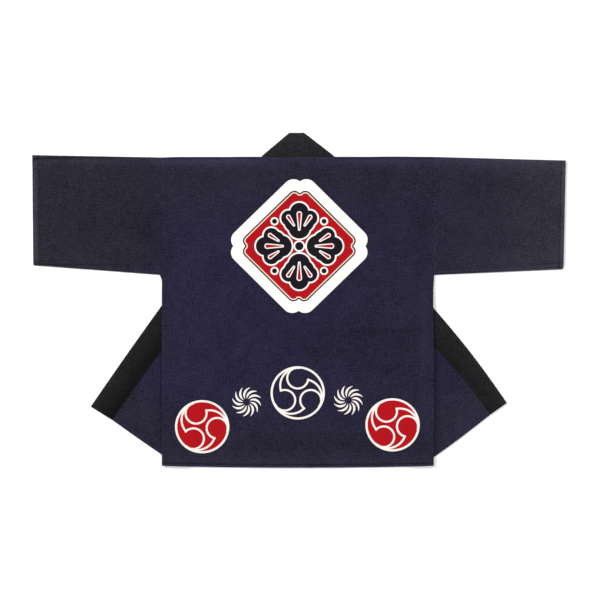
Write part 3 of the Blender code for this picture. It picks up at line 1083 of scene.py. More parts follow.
def build_collar(material):
    """The collar: one strip up one front, across the neck and down the other front."""
    sections = band_sections(fronts["left"])
    sections += band_sections(fronts["right"])[-2::-1]
    mesh = bmesh.new()
    cut, wear_and_painted_shade, tone, wall = finish_layers(mesh)
    middles = [(seam + edge) / 2 for seam, edge, _ in sections]
    rows = []
    along = 0.0
    forward = Vector((0.0, 1.0))
    for index, (seam, edge, height) in enumerate(sections):
        before, middle = middles[max(0, index - 1)], middles[index]
        ahead = middles[min(index + 1, len(middles) - 1)] - before
        along += (middle - before).length
        if ahead.length > BAND_STRIDE:
            forward = ahead.normalized()
        row = []
        for share in BAND_SHARES:
            point = seam.lerp(edge, share)
            z = height + lift(point) + COLLAR_RELIEF * surface(point)
            vertex = mesh.verts.new(Vector((point.x, point.y, z)) * MM)
            slant = (point - middle).dot(forward)
            across = abs(cross(forward, point - seam))
            vertex[cut] = Vector((across, along + slant, 0.0)) * MM
            vertex[wear_and_painted_shade] = collar_wear_and_shade(point, share, (edge - seam).length)
            vertex[tone] = 0.0
            vertex[wall][0] = band_share(share)
            row.append(vertex)
        rows.append(row)
    for row, following in zip(rows, rows[1:]):
        for step in range(len(BAND_SHARES) - 1):
            mesh.faces.new((row[step], row[step + 1], following[step + 1], following[step]))
    obj = add_wall("collar_cloth", mesh, BAND, material, "collar")
    return obj, sections, along


# Running stitches: their length, spacing, and how wide and high a stitch of thread is
STITCH_LENGTH = 2.3
STITCH_STEP = 3.3
THREAD_WIDTH = 0.5
THREAD_HEIGHT = 0.36

# How close a line of stitches follows the cloth, and how far it stays clear of edges and seams
ROUTE_STEP = 4.0
CLEAR_OF_SIDE = 1.5
CLEAR_OF_FOLD = 3.0
CLEAR_OF_SEAM = 2.0

# How far across the collar its stitches run, as a share of its width
COLLAR_STITCHES = 0.06

# A stitch's rings from end to end: how far along it each is, and how thick it is there
STITCH_RINGS = ((-0.92, 0.42), (-0.6, 0.86), (0.0, 1.0), (0.6, 0.86), (0.92, 0.42))
STITCH_SIDES = 8


def stitch_shape():
    """One stitch as points and faces, 2 long, wide and high: rings of thread, closed at its ends."""
    points = []
    for along, thick in STITCH_RINGS:
        for side in range(STITCH_SIDES):
            turn = math.tau * side / STITCH_SIDES
            points.append(Vector((along, thick * math.cos(turn), thick * math.sin(turn))))
    faces = []
    for ring in range(len(STITCH_RINGS) - 1):
        for side in range(STITCH_SIDES):
            here = ring * STITCH_SIDES + side
            beside = ring * STITCH_SIDES + (side + 1) % STITCH_SIDES
            faces.append((here, here + STITCH_SIDES, beside + STITCH_SIDES, beside))
    first = tuple(range(STITCH_SIDES))
    last = tuple(range(len(points) - 1, len(points) - 1 - STITCH_SIDES, -1))
    return points, faces + [first, last]


def stitch_line(route):
    """Stitches along a line of places, each a rounded bit of thread half sunk in the cloth."""
    points = []
    faces = []
    shape, shape_faces = stitch_shape()
    size = Matrix.Diagonal((STITCH_LENGTH / 2, THREAD_WIDTH / 2, THREAD_HEIGHT / 2, 1.0))
    run = 0.0
    following = STITCH_STEP / 2
    for start, end in zip(route, route[1:]):
        length = (end - start).length
        facing = (end - start).to_track_quat("X", "Z").to_matrix().to_4x4()
        while following < run + length:
            middle = start.lerp(end, (following - run) / length)
            place = Matrix.Scale(MM, 4) @ Matrix.Translation(middle) @ facing @ size
            first = len(points)
            points.extend(place @ point for point in shape)
            faces.extend(tuple(first + corner for corner in face) for face in shape_faces)
            following += STITCH_STEP
        run += length
    return points, faces


def sewn_route(start, end, place):
    """The places along a flat line, on top of the cloth that is sewn there."""
    count = max(2, round((end - start).length / ROUTE_STEP))
    route = []
    for index in range(count + 1):
        x, y, z = place(start.lerp(end, index / count))
        route.append(Vector((x, y, z + SEWN_SHARE * CLOTH / 2)))
    return route


def add_stitches(name, route, material):
    """One piece for all the stitches of a seam or hem."""
    points, faces = stitch_line(route)
    data = bpy.data.meshes.new(name)
    data.from_pydata(points, [], faces)
    data.materials.append(material)
    data.shade_smooth()
    obj = add_object(name, data)
    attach(obj, "root")
    return obj


def back_stitches(thread):
    """The back's hem, from side to side."""
    start = Vector((SIDE_LEFT + CLEAR_OF_SIDE, HEM + HEM_STITCHES))
    end = Vector((SIDE_RIGHT - CLEAR_OF_SIDE, HEM + HEM_STITCHES))
    route = sewn_route(start, end, place_back)
    return add_stitches("back_hem_stitches", route, thread)


def hem_crossing(top, bottom):
    """Where a line that ends at the hem crosses the line that the hem is sewn on."""
    run = top - bottom
    return bottom.x + HEM_STITCHES * run.x / run.y


def front_stitches(side, front, thread):
    """The hem of a front's turned half, on the face that shows."""
    fold_x = hem_crossing(front["fold_top"], front["fold_hem"]) + front["hand"] * CLEAR_OF_FOLD
    seam_x = hem_crossing(front["fold_top"], unfolded_hem(front)) - front["hand"] * CLEAR_OF_SEAM
    start, end = Vector((fold_x, HEM + HEM_STITCHES)), Vector((seam_x, HEM + HEM_STITCHES))
    route = sewn_route(start, end, lambda flat: place_front(side, flat))
    return add_stitches("front_%s_hem_stitches" % side, route, thread)


def sleeve_stitches(side, sleeve, thread):
    """The cuff's stitches on the upper layer."""
    upper, _, _ = sleeve_lines(sleeve)
    inward = Vector((sleeve["hand"] * (sleeve["cuff_band"] - STITCH_INSET), 0.0))
    clear = Vector((0.0, CLEAR_OF_SEAM))
    start, end = upper[1] + inward + clear, upper[2] + inward - clear
    route = sewn_route(start, end, lambda flat: place_sleeve(side, sleeve, flat))
    return add_stitches("sleeve_%s_cuff_stitches" % side, route, thread)


def collar_route(sections):
    """The places of the stitches along the collar, a little in from its seam."""
    route = []
    for seam, edge, height in sections:
        point = seam.lerp(edge, COLLAR_STITCHES)
        z = height + lift(point) + COLLAR_RELIEF * surface(point)
        route.append(Vector((point.x, point.y, z + band_share(COLLAR_STITCHES) * BAND / 2)))
    return route


def give(tree, socket, value):
    """Link an input to a socket, or set it to a number or tuple."""
    if isinstance(value, bpy.types.NodeSocket):
        tree.links.new(value, socket)
    else:
        socket.default_value = value


def feed(tree, node, values):
    """Give a node's inputs their values, in order."""
    for socket, value in zip(node.inputs, values):
        give(tree, socket, value)


def maths(tree, operation, *values):
    """A Math node's result."""
    node = tree.nodes.new("ShaderNodeMath")
    node.operation = operation
    feed(tree, node, values)
    return node.outputs[0]


def vectors(tree, operation, *values):
    """A Vector Math node's result: a length for LENGTH, or else a vector."""
    node = tree.nodes.new("ShaderNodeVectorMath")
    node.operation = operation
    feed(tree, node, values)
    return node.outputs["Value" if operation == "LENGTH" else "Vector"]


def split(tree, vector):
    """A vector's X and Y."""
    node = tree.nodes.new("ShaderNodeSeparateXYZ")
    tree.links.new(vector, node.inputs[0])
    return node.outputs[0], node.outputs[1]


def join(tree, x, y):
    """A flat vector."""
    node = tree.nodes.new("ShaderNodeCombineXYZ")
    feed(tree, node, (x, y, 0.0))
    return node.outputs[0]


def turned(tree, vector, angle):
    """A vector turned clockwise about Z by an angle in radians."""
    node = tree.nodes.new("ShaderNodeVectorRotate")
    node.rotation_type = "Z_AXIS"
    node.invert = True
    give(tree, node.inputs["Vector"], vector)
    give(tree, node.inputs["Angle"], angle)
    return node.outputs[0]


def mixed(tree, share, under, over):
    """A colour mixed from two by a share."""
    node = tree.nodes.new("ShaderNodeMix")
    node.data_type = "RGBA"
    for index, value in ((0, share), (6, under), (7, over)):
        give(tree, node.inputs[index], value)
    return node.outputs[2]


def scaled(tree, vector, factor):
    """A vector or colour times a number."""
    node = tree.nodes.new("ShaderNodeVectorMath")
    node.operation = "SCALE"
    give(tree, node.inputs[0], vector)
    give(tree, node.inputs["Scale"], factor)
    return node.outputs["Vector"]


def clamped(socket):
    """A Math node's result, held between 0 and 1."""
    socket.node.use_clamp = True
    return socket


def grain(tree, place, scale, detail=2.0, stretch=(1.0, 1.0, 1.0)):
    """Noise between 0 and 1 over the cloth, with its features 1/scale metres across."""
    texture = tree.nodes.new("ShaderNodeTexNoise")
    texture.noise_dimensions = "3D"
    texture.inputs["Scale"].default_value = scale
    texture.inputs["Detail"].default_value = detail
    tree.links.new(vectors(tree, "MULTIPLY", place, stretch), texture.inputs["Vector"])
    return texture.outputs[0]


def centred_grain(tree, place, scale, detail):
    """The same noise, between -0.5 and 0.5."""
    return maths(tree, "SUBTRACT", grain(tree, place, scale, detail), 0.5)


def new_group(name, inputs, outputs):
    """A shader node group with named sockets. Returns its tree, what comes in, and what goes out."""
    tree = bpy.data.node_groups.new(name, "ShaderNodeTree")
    for label, kind, value in inputs:
        socket = tree.interface.new_socket(label, in_out="INPUT", socket_type="NodeSocket" + kind)
        if value is not None:
            socket.default_value = value
    for label, kind in outputs:
        tree.interface.new_socket(label, in_out="OUTPUT", socket_type="NodeSocket" + kind)
    entry = tree.nodes.new("NodeGroupInput")
    leave = tree.nodes.new("NodeGroupOutput")
    return tree, entry.outputs, leave.inputs


def use_group(tree, name, values):
    """Place a group in a tree with values for some of its inputs. Returns its outputs."""
    node = tree.nodes.new("ShaderNodeGroup")
    node.node_tree = bpy.data.node_groups[name]
    for label, value in values.items():
        give(tree, node.inputs[label], value)
    return node.outputs


# How the slubs in the threads stretch along them, in features to the metre
WARP_SLUBS = (520.0, 45.0, 1.0)
WEFT_SLUBS = (45.0, 520.0, 1.0)

# Noise in the cloth's tone, its second dye and its wear: features to the metre, and detail
SPECKS = (340.0, 1.0)
BROAD_MOTTLE = (13.0, 3.0)
PATCHES = (60.0, 3.0)
BLOTCHES = (170.0, 2.0)
TINTING = (85.0, 2.0)
RUBBING = (150.0, 3.0)


def make_weave_group():
    """Plain weave: the height of its threads, and how their tone changes from thread to thread."""
    tree, given, result = new_group(
        "plain_weave",
        [("Place", "Vector", None), ("Threads", "Float", BODY_THREADS), ("Slub", "Float", 0.5)],
        [("Height", "Float"), ("Tone", "Float")],
    )
    x, y = split(tree, given["Place"])
    turns = maths(tree, "MULTIPLY", given["Threads"], math.pi)
    warp = maths(tree, "SINE", maths(tree, "MULTIPLY", x, turns))
    weft = maths(tree, "SINE", maths(tree, "MULTIPLY", y, turns))
    crossings = maths(tree, "MULTIPLY", warp, weft)
    warp_slub = grain(tree, given["Place"], 1.0, 1.0, WARP_SLUBS)
    weft_slub = grain(tree, given["Place"], 1.0, 1.0, WEFT_SLUBS)
    slubs = maths(tree, "ADD", warp_slub, weft_slub)
    slubs = maths(tree, "MULTIPLY", maths(tree, "SUBTRACT", slubs, 1.0), given["Slub"])
    height = maths(tree, "MULTIPLY_ADD", crossings, 0.25, slubs)
    tree.links.new(height, result["Height"])
    specks = centred_grain(tree, given["Place"], *SPECKS)
    tone = maths(tree, "ADD", maths(tree, "MULTIPLY", slubs, 0.8), specks)
    tree.links.new(tone, result["Tone"])


def make_dye_group():
    """Dyed cotton: its colour, mottled where the dye took unevenly, faded where it is worn, darkened
    by painted shade where its wear is below 0, and made lighter or darker by the painted light and
    shade of its soft tone.
    """
    tree, given, result = new_group(
        "dyed_cotton",
        [
            ("Place", "Vector", None),
            ("Dye", "Color", NAVY),
            ("Second Dye", "Color", NAVY),
            ("Faded", "Color", NAVY),
            ("Threads' Tone", "Float", 0.0),
            ("Painted Light And Shade", "Float", 0.0),
            ("Wear And Painted Shade", "Float", 0.0),
            ("Mottle", "Float", 0.3),
            ("Grain", "Float", 0.6),
        ],
        [("Color", "Color")],
    )
    broad = centred_grain(tree, given["Place"], *BROAD_MOTTLE)
    patches = centred_grain(tree, given["Place"], *PATCHES)
    blotches = centred_grain(tree, given["Place"], *BLOTCHES)
    mottle = maths(tree, "ADD", broad, maths(tree, "ADD", patches, blotches))
    mottle = maths(tree, "MULTIPLY", mottle, given["Mottle"])
    tone = maths(tree, "MULTIPLY_ADD", given["Threads' Tone"], given["Grain"], mottle)
    # The soft tone is painted light and shade
    tone = maths(tree, "ADD", tone, given["Painted Light And Shade"])
    gain = maths(tree, "MAXIMUM", maths(tree, "ADD", tone, 1.0), 0.0)
    uneven = grain(tree, given["Place"], *TINTING)
    uneven = clamped(maths(tree, "MULTIPLY_ADD", uneven, 3.0, -1.0))
    colour = mixed(tree, uneven, given["Dye"], given["Second Dye"])
    rubbed = maths(tree, "ADD", grain(tree, given["Place"], *RUBBING), 0.5)
    rubbed = clamped(maths(tree, "MULTIPLY", given["Wear And Painted Shade"], rubbed))
    colour = mixed(tree, rubbed, colour, given["Faded"])
    # Below 0 the wear is painted shade in creases and grooves, which darkens the colour by up to half
    painted_shade_gain = maths(tree, "MULTIPLY_ADD", maths(tree, "MINIMUM", given["Wear And Painted Shade"], 0.0), 0.5, 1.0)
    gain = maths(tree, "MULTIPLY", gain, painted_shade_gain)
    tree.links.new(scaled(tree, colour, gain), result["Color"])


def make_ink_group():
    """Ink inside a printed line's edge: 1 where the distance is below 0, softly."""
    tree, given, result = new_group(
        "ink", [("Distance", "Float", 0.0), ("Bleed", "Float", 0.35)], [("Ink", "Float")]
    )
    share = maths(tree, "DIVIDE", given["Distance"], given["Bleed"])
    ink = clamped(maths(tree, "SUBTRACT", 0.5, share))
    tree.links.new(ink, result["Ink"])


def make_arc_group():
    """The distance to a stroke along an arc. Angles are clockwise from the top."""
    tree, given, result = new_group(
        "arc_stroke",
        [
            ("Point", "Vector", None),
            ("Centre", "Vector", None),
            ("Facing", "Float", 0.0),
            ("Half Opening", "Float", 1.0),
            ("Radius", "Float", 20.0),
            ("Half Width", "Float", 2.6),
        ],
        [("Distance", "Float")],
    )
    point = vectors(tree, "SUBTRACT", given["Point"], given["Centre"])
    point = turned(tree, point, maths(tree, "MULTIPLY", given["Facing"], -1.0))
    x, y = split(tree, point)
    x = maths(tree, "ABSOLUTE", x)
    sine = maths(tree, "SINE", given["Half Opening"])
    cosine = maths(tree, "COSINE", given["Half Opening"])
    beyond = maths(
        tree,
        "GREATER_THAN",
        maths(tree, "MULTIPLY", cosine, x),
        maths(tree, "MULTIPLY", sine, y),
    )
    end_x = maths(tree, "SUBTRACT", x, maths(tree, "MULTIPLY", sine, given["Radius"]))
    end_y = maths(tree, "SUBTRACT", y, maths(tree, "MULTIPLY", cosine, given["Radius"]))
    to_end = vectors(tree, "LENGTH", join(tree, end_x, end_y))
    to_arc = maths(tree, "SUBTRACT", vectors(tree, "LENGTH", point), given["Radius"])
    to_arc = maths(tree, "ABSOLUTE", to_arc)
    extra = maths(tree, "MULTIPLY", beyond, maths(tree, "SUBTRACT", to_end, to_arc))
    distance = maths(tree, "ADD", to_arc, extra)
    tree.links.new(maths(tree, "SUBTRACT", distance, given["Half Width"]), result["Distance"])


# A roundel of three commas: its ring, its commas' heads and their tails
ROUNDEL_RADIUS = 65.0
RING_WIDTH = 5.1
LINE_WIDTH = 4.6
HEAD_OUT = 36.0
HEAD_RADIUS = 25.2
HEAD_OPENS = math.radians(97.0)
HEAD_CLOSES = math.radians(335.0)
TAIL_OUT = 18.0
TAIL_TOWARD = math.radians(124.0)
TAIL_RADIUS = 43.2
TAIL_STARTS = math.radians(13.0)

# The printed roundels are a little less tall than wide
ROUNDEL_STRETCH = (1.0, 1.0 / 0.981, 1.0)


def clockwise(distance, angle):
    """A place at a distance from the middle, at an angle clockwise from the top."""
    return distance * math.sin(angle), distance * math.cos(angle), 0.0


def make_roundel_group():
    """Three commas chasing each other clockwise in a ring, drawn in one line."""
    tree, given, result = new_group(
        "comma_roundel",
        [("Point", "Vector", None), ("Centre", "Vector", None), ("Turn", "Float", 0.0)],
        [("Lines", "Float"), ("Disc", "Float")],
    )
    point = vectors(tree, "SUBTRACT", given["Point"], given["Centre"])
    point = vectors(tree, "MULTIPLY", point, ROUNDEL_STRETCH)
    point = turned(tree, point, maths(tree, "MULTIPLY", given["Turn"], -1.0))
    disc = maths(tree, "SUBTRACT", vectors(tree, "LENGTH", point), ROUNDEL_RADIUS)
    ring = maths(tree, "ABSOLUTE", maths(tree, "ADD", disc, RING_WIDTH / 2))
    lines = maths(tree, "SUBTRACT", ring, RING_WIDTH / 2)
    for comma in range(3):
        turn = comma * math.tau / 3
        strokes = (
            (HEAD_OUT, 0.0, HEAD_RADIUS, HEAD_OPENS, HEAD_CLOSES),
            (TAIL_OUT, TAIL_TOWARD, TAIL_RADIUS, TAIL_STARTS, TAIL_TOWARD),
        )
        for out, toward, radius, first, last in strokes:
            stroke = use_group(
                tree,
                "arc_stroke",
                {
                    "Point": point,
                    "Centre": clockwise(out, turn + toward),
                    "Facing": turn + (first + last) / 2,
                    "Half Opening": (last - first) / 2,
                    "Radius": radius,
                    "Half Width": LINE_WIDTH / 2,
                },
            )
            lines = maths(tree, "MINIMUM", lines, stroke["Distance"])
    tree.links.new(lines, result["Lines"])
    tree.links.new(disc, result["Disc"])


# A whirl of curved blades, each pointed at both ends and widest beyond its middle
WHIRL_INNER = 8.0
WHIRL_OUTER = 35.6
WHIRL_BLADES = 12
WHIRL_SWEEP = math.radians(40.0)
WHIRL_HALF_WIDTH = 3.15

# Powers that set how late the blades sweep round, how far out they are widest and how full
SWEEP_POWER = 1.7
WIDEST_POWER = 1.45
FULLNESS_POWER = 0.62


def make_whirl_group():
    """Twelve crescent blades that leave the middle straight and sweep round clockwise."""
    tree, given, result = new_group(
        "whirl",
        [("Point", "Vector", None), ("Centre", "Vector", None), ("Turn", "Float", 0.0)],
        [("Distance", "Float")],
    )
    point = vectors(tree, "SUBTRACT", given["Point"], given["Centre"])
    x, y = split(tree, point)
    radius = vectors(tree, "LENGTH", point)
    angle = maths(tree, "ARCTAN2", x, y)
    share = maths(tree, "SUBTRACT", radius, WHIRL_INNER)
    share = clamped(maths(tree, "DIVIDE", share, WHIRL_OUTER - WHIRL_INNER))
    sweep = maths(tree, "MULTIPLY", maths(tree, "POWER", share, SWEEP_POWER), WHIRL_SWEEP)
    across = maths(tree, "SUBTRACT", maths(tree, "SUBTRACT", angle, sweep), given["Turn"])
    half_pitch = math.pi / WHIRL_BLADES
    across = maths(tree, "WRAP", across, half_pitch, -half_pitch)
    across = maths(tree, "ABSOLUTE", maths(tree, "MULTIPLY", across, radius))
    swell = maths(tree, "MULTIPLY", maths(tree, "POWER", share, WIDEST_POWER), math.pi)
    swell = maths(tree, "SINE", swell)
    swell = maths(tree, "POWER", maths(tree, "MAXIMUM", swell, 0.0), FULLNESS_POWER)
    width = maths(tree, "MULTIPLY", swell, WHIRL_HALF_WIDTH)
    blade = maths(tree, "SUBTRACT", across, width)
    beyond = maths(tree, "SUBTRACT", radius, WHIRL_OUTER)
    within = maths(tree, "SUBTRACT", WHIRL_INNER, radius)
    distance = maths(tree, "MAXIMUM", maths(tree, "MAXIMUM", blade, beyond), within)
    tree.links.new(distance, result["Distance"])


def quarters(tree, point):
    """A point folded onto one eighth of a figure that is the same in all eight."""
    x, y = split(tree, point)
    x, y = maths(tree, "ABSOLUTE", x), maths(tree, "ABSOLUTE", y)
    return maths(tree, "MAXIMUM", x, y), maths(tree, "MINIMUM", x, y)


def spot(tree, out, across, centre_out, centre_across, radius):
    """The distance to a round spot."""
    way = join(
        tree,
        maths(tree, "SUBTRACT", out, centre_out),
        maths(tree, "SUBTRACT", across, centre_across),
    )
    return maths(tree, "SUBTRACT", vectors(tree, "LENGTH", way), radius)


# How far out along a lobe, in its radii, the diamond's straight sides run into it
LOBE_BLEND = 0.66


def make_diamond_group():
    """A square stood on its corner, with each corner rounded into two lobes and a notch."""
    tree, given, result = new_group(
        "lobed_diamond",
        [
            ("Point", "Vector", None),
            ("Half Side", "Float", 133.4),
            ("Lobe Out", "Float", 138.2),
            ("Lobe Across", "Float", 15.3),
            ("Lobe Radius", "Float", 24.8),
        ],
        [("Distance", "Float")],
    )
    out, across = quarters(tree, given["Point"])
    side = maths(tree, "MULTIPLY", maths(tree, "ADD", out, across), math.sqrt(0.5))
    side = maths(tree, "SUBTRACT", side, given["Half Side"])
    reach = maths(tree, "MULTIPLY_ADD", given["Lobe Radius"], LOBE_BLEND, given["Lobe Out"])
    body = maths(tree, "MAXIMUM", side, maths(tree, "SUBTRACT", out, reach))
    lobe = spot(tree, out, across, given["Lobe Out"], given["Lobe Across"], given["Lobe Radius"])
    tree.links.new(maths(tree, "MINIMUM", body, lobe), result["Distance"])


# The flower in the diamond: round parts of a petal, out along it and across it
PETAL_SPOTS = (
    # out, across, radius
    (82.0, 0.0, 22.0),
    (67.0, 25.0, 18.5),
    (58.0, 12.0, 24.0),
    (44.0, 0.0, 26.0),
)
HEART_RADIUS = 10.0
DOT_OUT = 84.0
DOT_RADIUS = 6.0

# The straight veins in a petal
VEINS = (
    # out, across, to_out, to_across, half width at its start, half width at its end
    (40.0, 0.0, 77.0, 0.0, 3.2, 6.6),
    (50.0, 13.0, 70.0, 26.0, 3.0, 5.6),
)


def taper(tree, out, across, row):
    """The distance to a straight stroke that swells from one width to another."""
    from_out, from_across, to_out, to_across, first, last = row
    run_out, run_across = to_out - from_out, to_across - from_across
    out = maths(tree, "SUBTRACT", out, from_out)
    across = maths(tree, "SUBTRACT", across, from_across)
    share = maths(tree, "MULTIPLY", across, run_across)
    share = maths(tree, "MULTIPLY_ADD", out, run_out, share)
    share = clamped(maths(tree, "DIVIDE", share, run_out * run_out + run_across * run_across))
    out = maths(tree, "SUBTRACT", out, maths(tree, "MULTIPLY", share, run_out))
    across = maths(tree, "SUBTRACT", across, maths(tree, "MULTIPLY", share, run_across))
    width = maths(tree, "MULTIPLY_ADD", share, last - first, first)
    return maths(tree, "SUBTRACT", vectors(tree, "LENGTH", join(tree, out, across)), width)


def make_flower_group():
    """A flower of four lobed petals, with a heart and four dots, and the veins in its petals."""
    tree, given, result = new_group(
        "diamond_flower",
        [("Point", "Vector", None)],
        [("Petals", "Float"), ("Veins", "Float")],
    )
    out, across = quarters(tree, given["Point"])
    petals = maths(tree, "SUBTRACT", vectors(tree, "LENGTH", given["Point"]), HEART_RADIUS)
    for spot_out, spot_across, radius in PETAL_SPOTS:
        spot_distance = spot(tree, out, across, spot_out, spot_across, radius)
        petals = maths(tree, "MINIMUM", petals, spot_distance)
    diagonal = DOT_OUT * math.sqrt(0.5)
    petals = maths(tree, "MINIMUM", petals, spot(tree, out, across, diagonal, diagonal, DOT_RADIUS))
    veins = maths(tree, "MINIMUM", *(taper(tree, out, across, row) for row in VEINS))
    tree.links.new(petals, result["Petals"])
    tree.links.new(veins, result["Veins"])


def new_material(name):
    """A material and its tree, Principled shader and output."""
    material = bpy.data.materials.new(name)
    material.use_nodes = True
    shader = material.node_tree.nodes["Principled BSDF"]
    return material, material.node_tree, shader


def cotton_shader(tree, shader, colour, height, gloss, relief):
    """Matt cotton: weave in its bump, a little sheen and hardly any gloss."""
    tree.links.new(colour, shader.inputs["Base Color"])
    shader.inputs["Roughness"].default_value = 0.92
    shader.inputs["Specular IOR Level"].default_value = gloss
    shader.inputs["Sheen Weight"].default_value = 0.06
    shader.inputs["Sheen Roughness"].default_value = 0.45
    bump = tree.nodes.new("ShaderNodeBump")
    bump.inputs["Strength"].default_value = 0.6
    bump.inputs["Distance"].default_value = relief
    tree.links.new(height, bump.inputs["Height"])
    tree.links.new(bump.outputs[0], shader.inputs["Normal"])


def read_cut(tree):
    """The place on the flat cut, its wear with painted shade below 0, and its tone of painted light
    and shade, as stored on the cloth's points.
    """
    place = tree.nodes.new("ShaderNodeAttribute")
    place.attribute_name = "cut"
    wear_and_painted_shade = tree.nodes.new("ShaderNodeAttribute")
    wear_and_painted_shade.attribute_name = "wear_and_painted_shade"
    tone = tree.nodes.new("ShaderNodeAttribute")
    tone.attribute_name = "tone"
    return place.outputs["Vector"], wear_and_painted_shade.outputs["Fac"], tone.outputs["Fac"]


def dyed(tree, place, wear_and_painted_shade, tone, dye, second, faded, threads):
    """The colour and height of woven, dyed cotton. Below 0, its wear is painted shade, which darkens
    the cloth in grooves and creases.
    """
    weave = use_group(tree, "plain_weave", {"Place": place, "Threads": threads, "Slub": 0.5})
    cloth = use_group(
        tree,
        "dyed_cotton",
        {
            "Place": place,
            "Dye": dye,
            "Second Dye": second,
            "Faded": faded,
            "Threads' Tone": weave["Tone"],
            "Painted Light And Shade": tone,
            "Wear And Painted Shade": wear_and_painted_shade,
            "Mottle": MOTTLE,
            "Grain": GRAIN,
        },
    )
    return cloth["Color"], weave["Height"]


def lighter(colour, gain):
    """A colour made lighter or darker."""
    return tuple(channel * gain for channel in colour[:3]) + (1.0,)


def spread(tree, value, run):
    """0 up to the start of a run in millimetres, 1 from its end on, and an S between them."""
    node = tree.nodes.new("ShaderNodeMapRange")
    node.interpolation_type = "SMOOTHSTEP"
    feed(tree, node, (value, run[0] * MM, run[1] * MM, 0.0, 1.0))
    return node.outputs[0]


# Where the navy changes, from where to where: outward from the middle, across, and up the coat
INTO_SLEEVES = (280.0, 420.0)
INTO_CUFFS = (430.0, 650.0)
LEFT_TO_RIGHT = (-100.0, 300.0)
GREYER_RIGHT = (20.0, 330.0)
GREYER_UP = (130.0, 290.0)
GREYER_DOWN = (-250.0, -340.0)
GREY_AT_RIGHT = 0.6


def make_navy_group():
    """Navy dye by its place on the coat: greyer on the sleeves and at the body's right and ends."""
    tree, given, result = new_group(
        "navy_dye",
        [("Place", "Vector", None), ("Fading", "Float", FADE_GAIN)],
        [("Dye", "Color"), ("Second Dye", "Color"), ("Faded", "Color")],
    )
    x, y = split(tree, given["Place"])
    outward = maths(tree, "ABSOLUTE", x)
    sleeveward = spread(tree, outward, INTO_SLEEVES)
    cuffward = spread(tree, outward, INTO_CUFFS)
    rightward = spread(tree, x, LEFT_TO_RIGHT)
    greyer = maths(tree, "MULTIPLY", spread(tree, x, GREYER_RIGHT), GREY_AT_RIGHT)
    for run in (GREYER_UP, GREYER_DOWN):
        greyer = maths(tree, "MAXIMUM", greyer, spread(tree, y, run))
    cuff = mixed(tree, rightward, LEFT_CUFF_NAVY, RIGHT_CUFF_NAVY)
    dyes = (
        ("Dye", NAVY, GREY_NAVY, LEFT_SLEEVE_NAVY, RIGHT_SLEEVE_NAVY),
        ("Second Dye", NAVY_TINT, GREY_TINT, LEFT_SLEEVE_TINT, RIGHT_SLEEVE_TINT),
    )
    for name, body, grey, left, right in dyes:
        body = mixed(tree, greyer, body, grey)
        dye = mixed(tree, sleeveward, body, mixed(tree, rightward, left, right))
        dye = mixed(tree, cuffward, dye, cuff)
        tree.links.new(dye, result[name])
        if name == "Dye":
            tree.links.new(scaled(tree, dye, given["Fading"]), result["Faded"])


def dyed_navy(tree, place, wear_and_painted_shade, tone):
    """The colour and height of the navy cotton."""
    dye = use_group(tree, "navy_dye", {"Place": place, "Fading": FADE_GAIN})
    dyes = (dye["Dye"], dye["Second Dye"], dye["Faded"])
    return dyed(tree, place, wear_and_painted_shade, tone, *dyes, BODY_THREADS)


# The cottons' gloss, and the relief of their weave in metres
NAVY_GLOSS = 0.06
NAVY_RELIEF = 0.00035
BLACK_GLOSS = 0.03
BLACK_RELIEF = 0.0004


def plain_material():
    """The cotton of the fronts and sleeves."""
    material, tree, shader = new_material("navy_cotton_cloth")
    place, wear_and_painted_shade, tone = read_cut(tree)
    colour, height = dyed_navy(tree, place, wear_and_painted_shade, tone)
    cotton_shader(tree, shader, colour, height, NAVY_GLOSS, NAVY_RELIEF)
    return material


def collar_material():
    """Black cotton, paler towards the collar's folded edge: worn there, with painted shade by its
    seam.
    """
    material, tree, shader = new_material("black_cotton_cloth")
    place, wear_and_painted_shade, tone = read_cut(tree)
    dyes = (COLLAR_BLACK, COLLAR_TINT, COLLAR_FADED)
    colour, height = dyed(tree, place, wear_and_painted_shade, tone, *dyes, COLLAR_THREADS)
    cotton_shader(tree, shader, colour, height, BLACK_GLOSS, BLACK_RELIEF)
    return material


# Where the prints lie on the back, in millimetres as it is laid
ROUNDELS = (
    # centre, turn in degrees, filled with red
    ((-232.2, -303.0, 0.0), -24.0, True),
    ((224.4, -298.6, 0.0), -24.0, True),
    ((-3.1, -222.0, 0.0), 0.0, False),
)
WHIRLS = (
    # centre, turn in degrees
    ((-125.8, -243.6, 0.0), -25.5),
    ((118.3, -239.8, 0.0), -23.0),
)
DIAMOND_CENTRE = (0.7, 130.1, 0.0)

# The diamond is a little wider than tall and leans to the right; its inner edge is drawn in
# black, then cream, round a red field
DIAMOND_STRETCH = (1.0 / 1.003, 1.0 / 0.983, 1.0)
DIAMOND_LEAN = 0.0104
INNER_DIAMOND = {"Half Side": 108.9, "Lobe Out": 119.6, "Lobe Across": 12.9, "Lobe Radius": 15.2}
CREAM_FROM = 3.4
RED_FROM = 6.1

# The white lines round the petals and round the red cores of their veins
PETAL_LINE = 3.8
VEIN_LINE = 2.6


def inked(tree, colour, distance, further_in, ink):
    """A colour printed over wherever a place lies so far inside a figure's edge."""
    inside = maths(tree, "ADD", distance, further_in) if further_in else distance
    return mixed(tree, use_group(tree, "ink", {"Distance": inside})["Ink"], colour, ink)


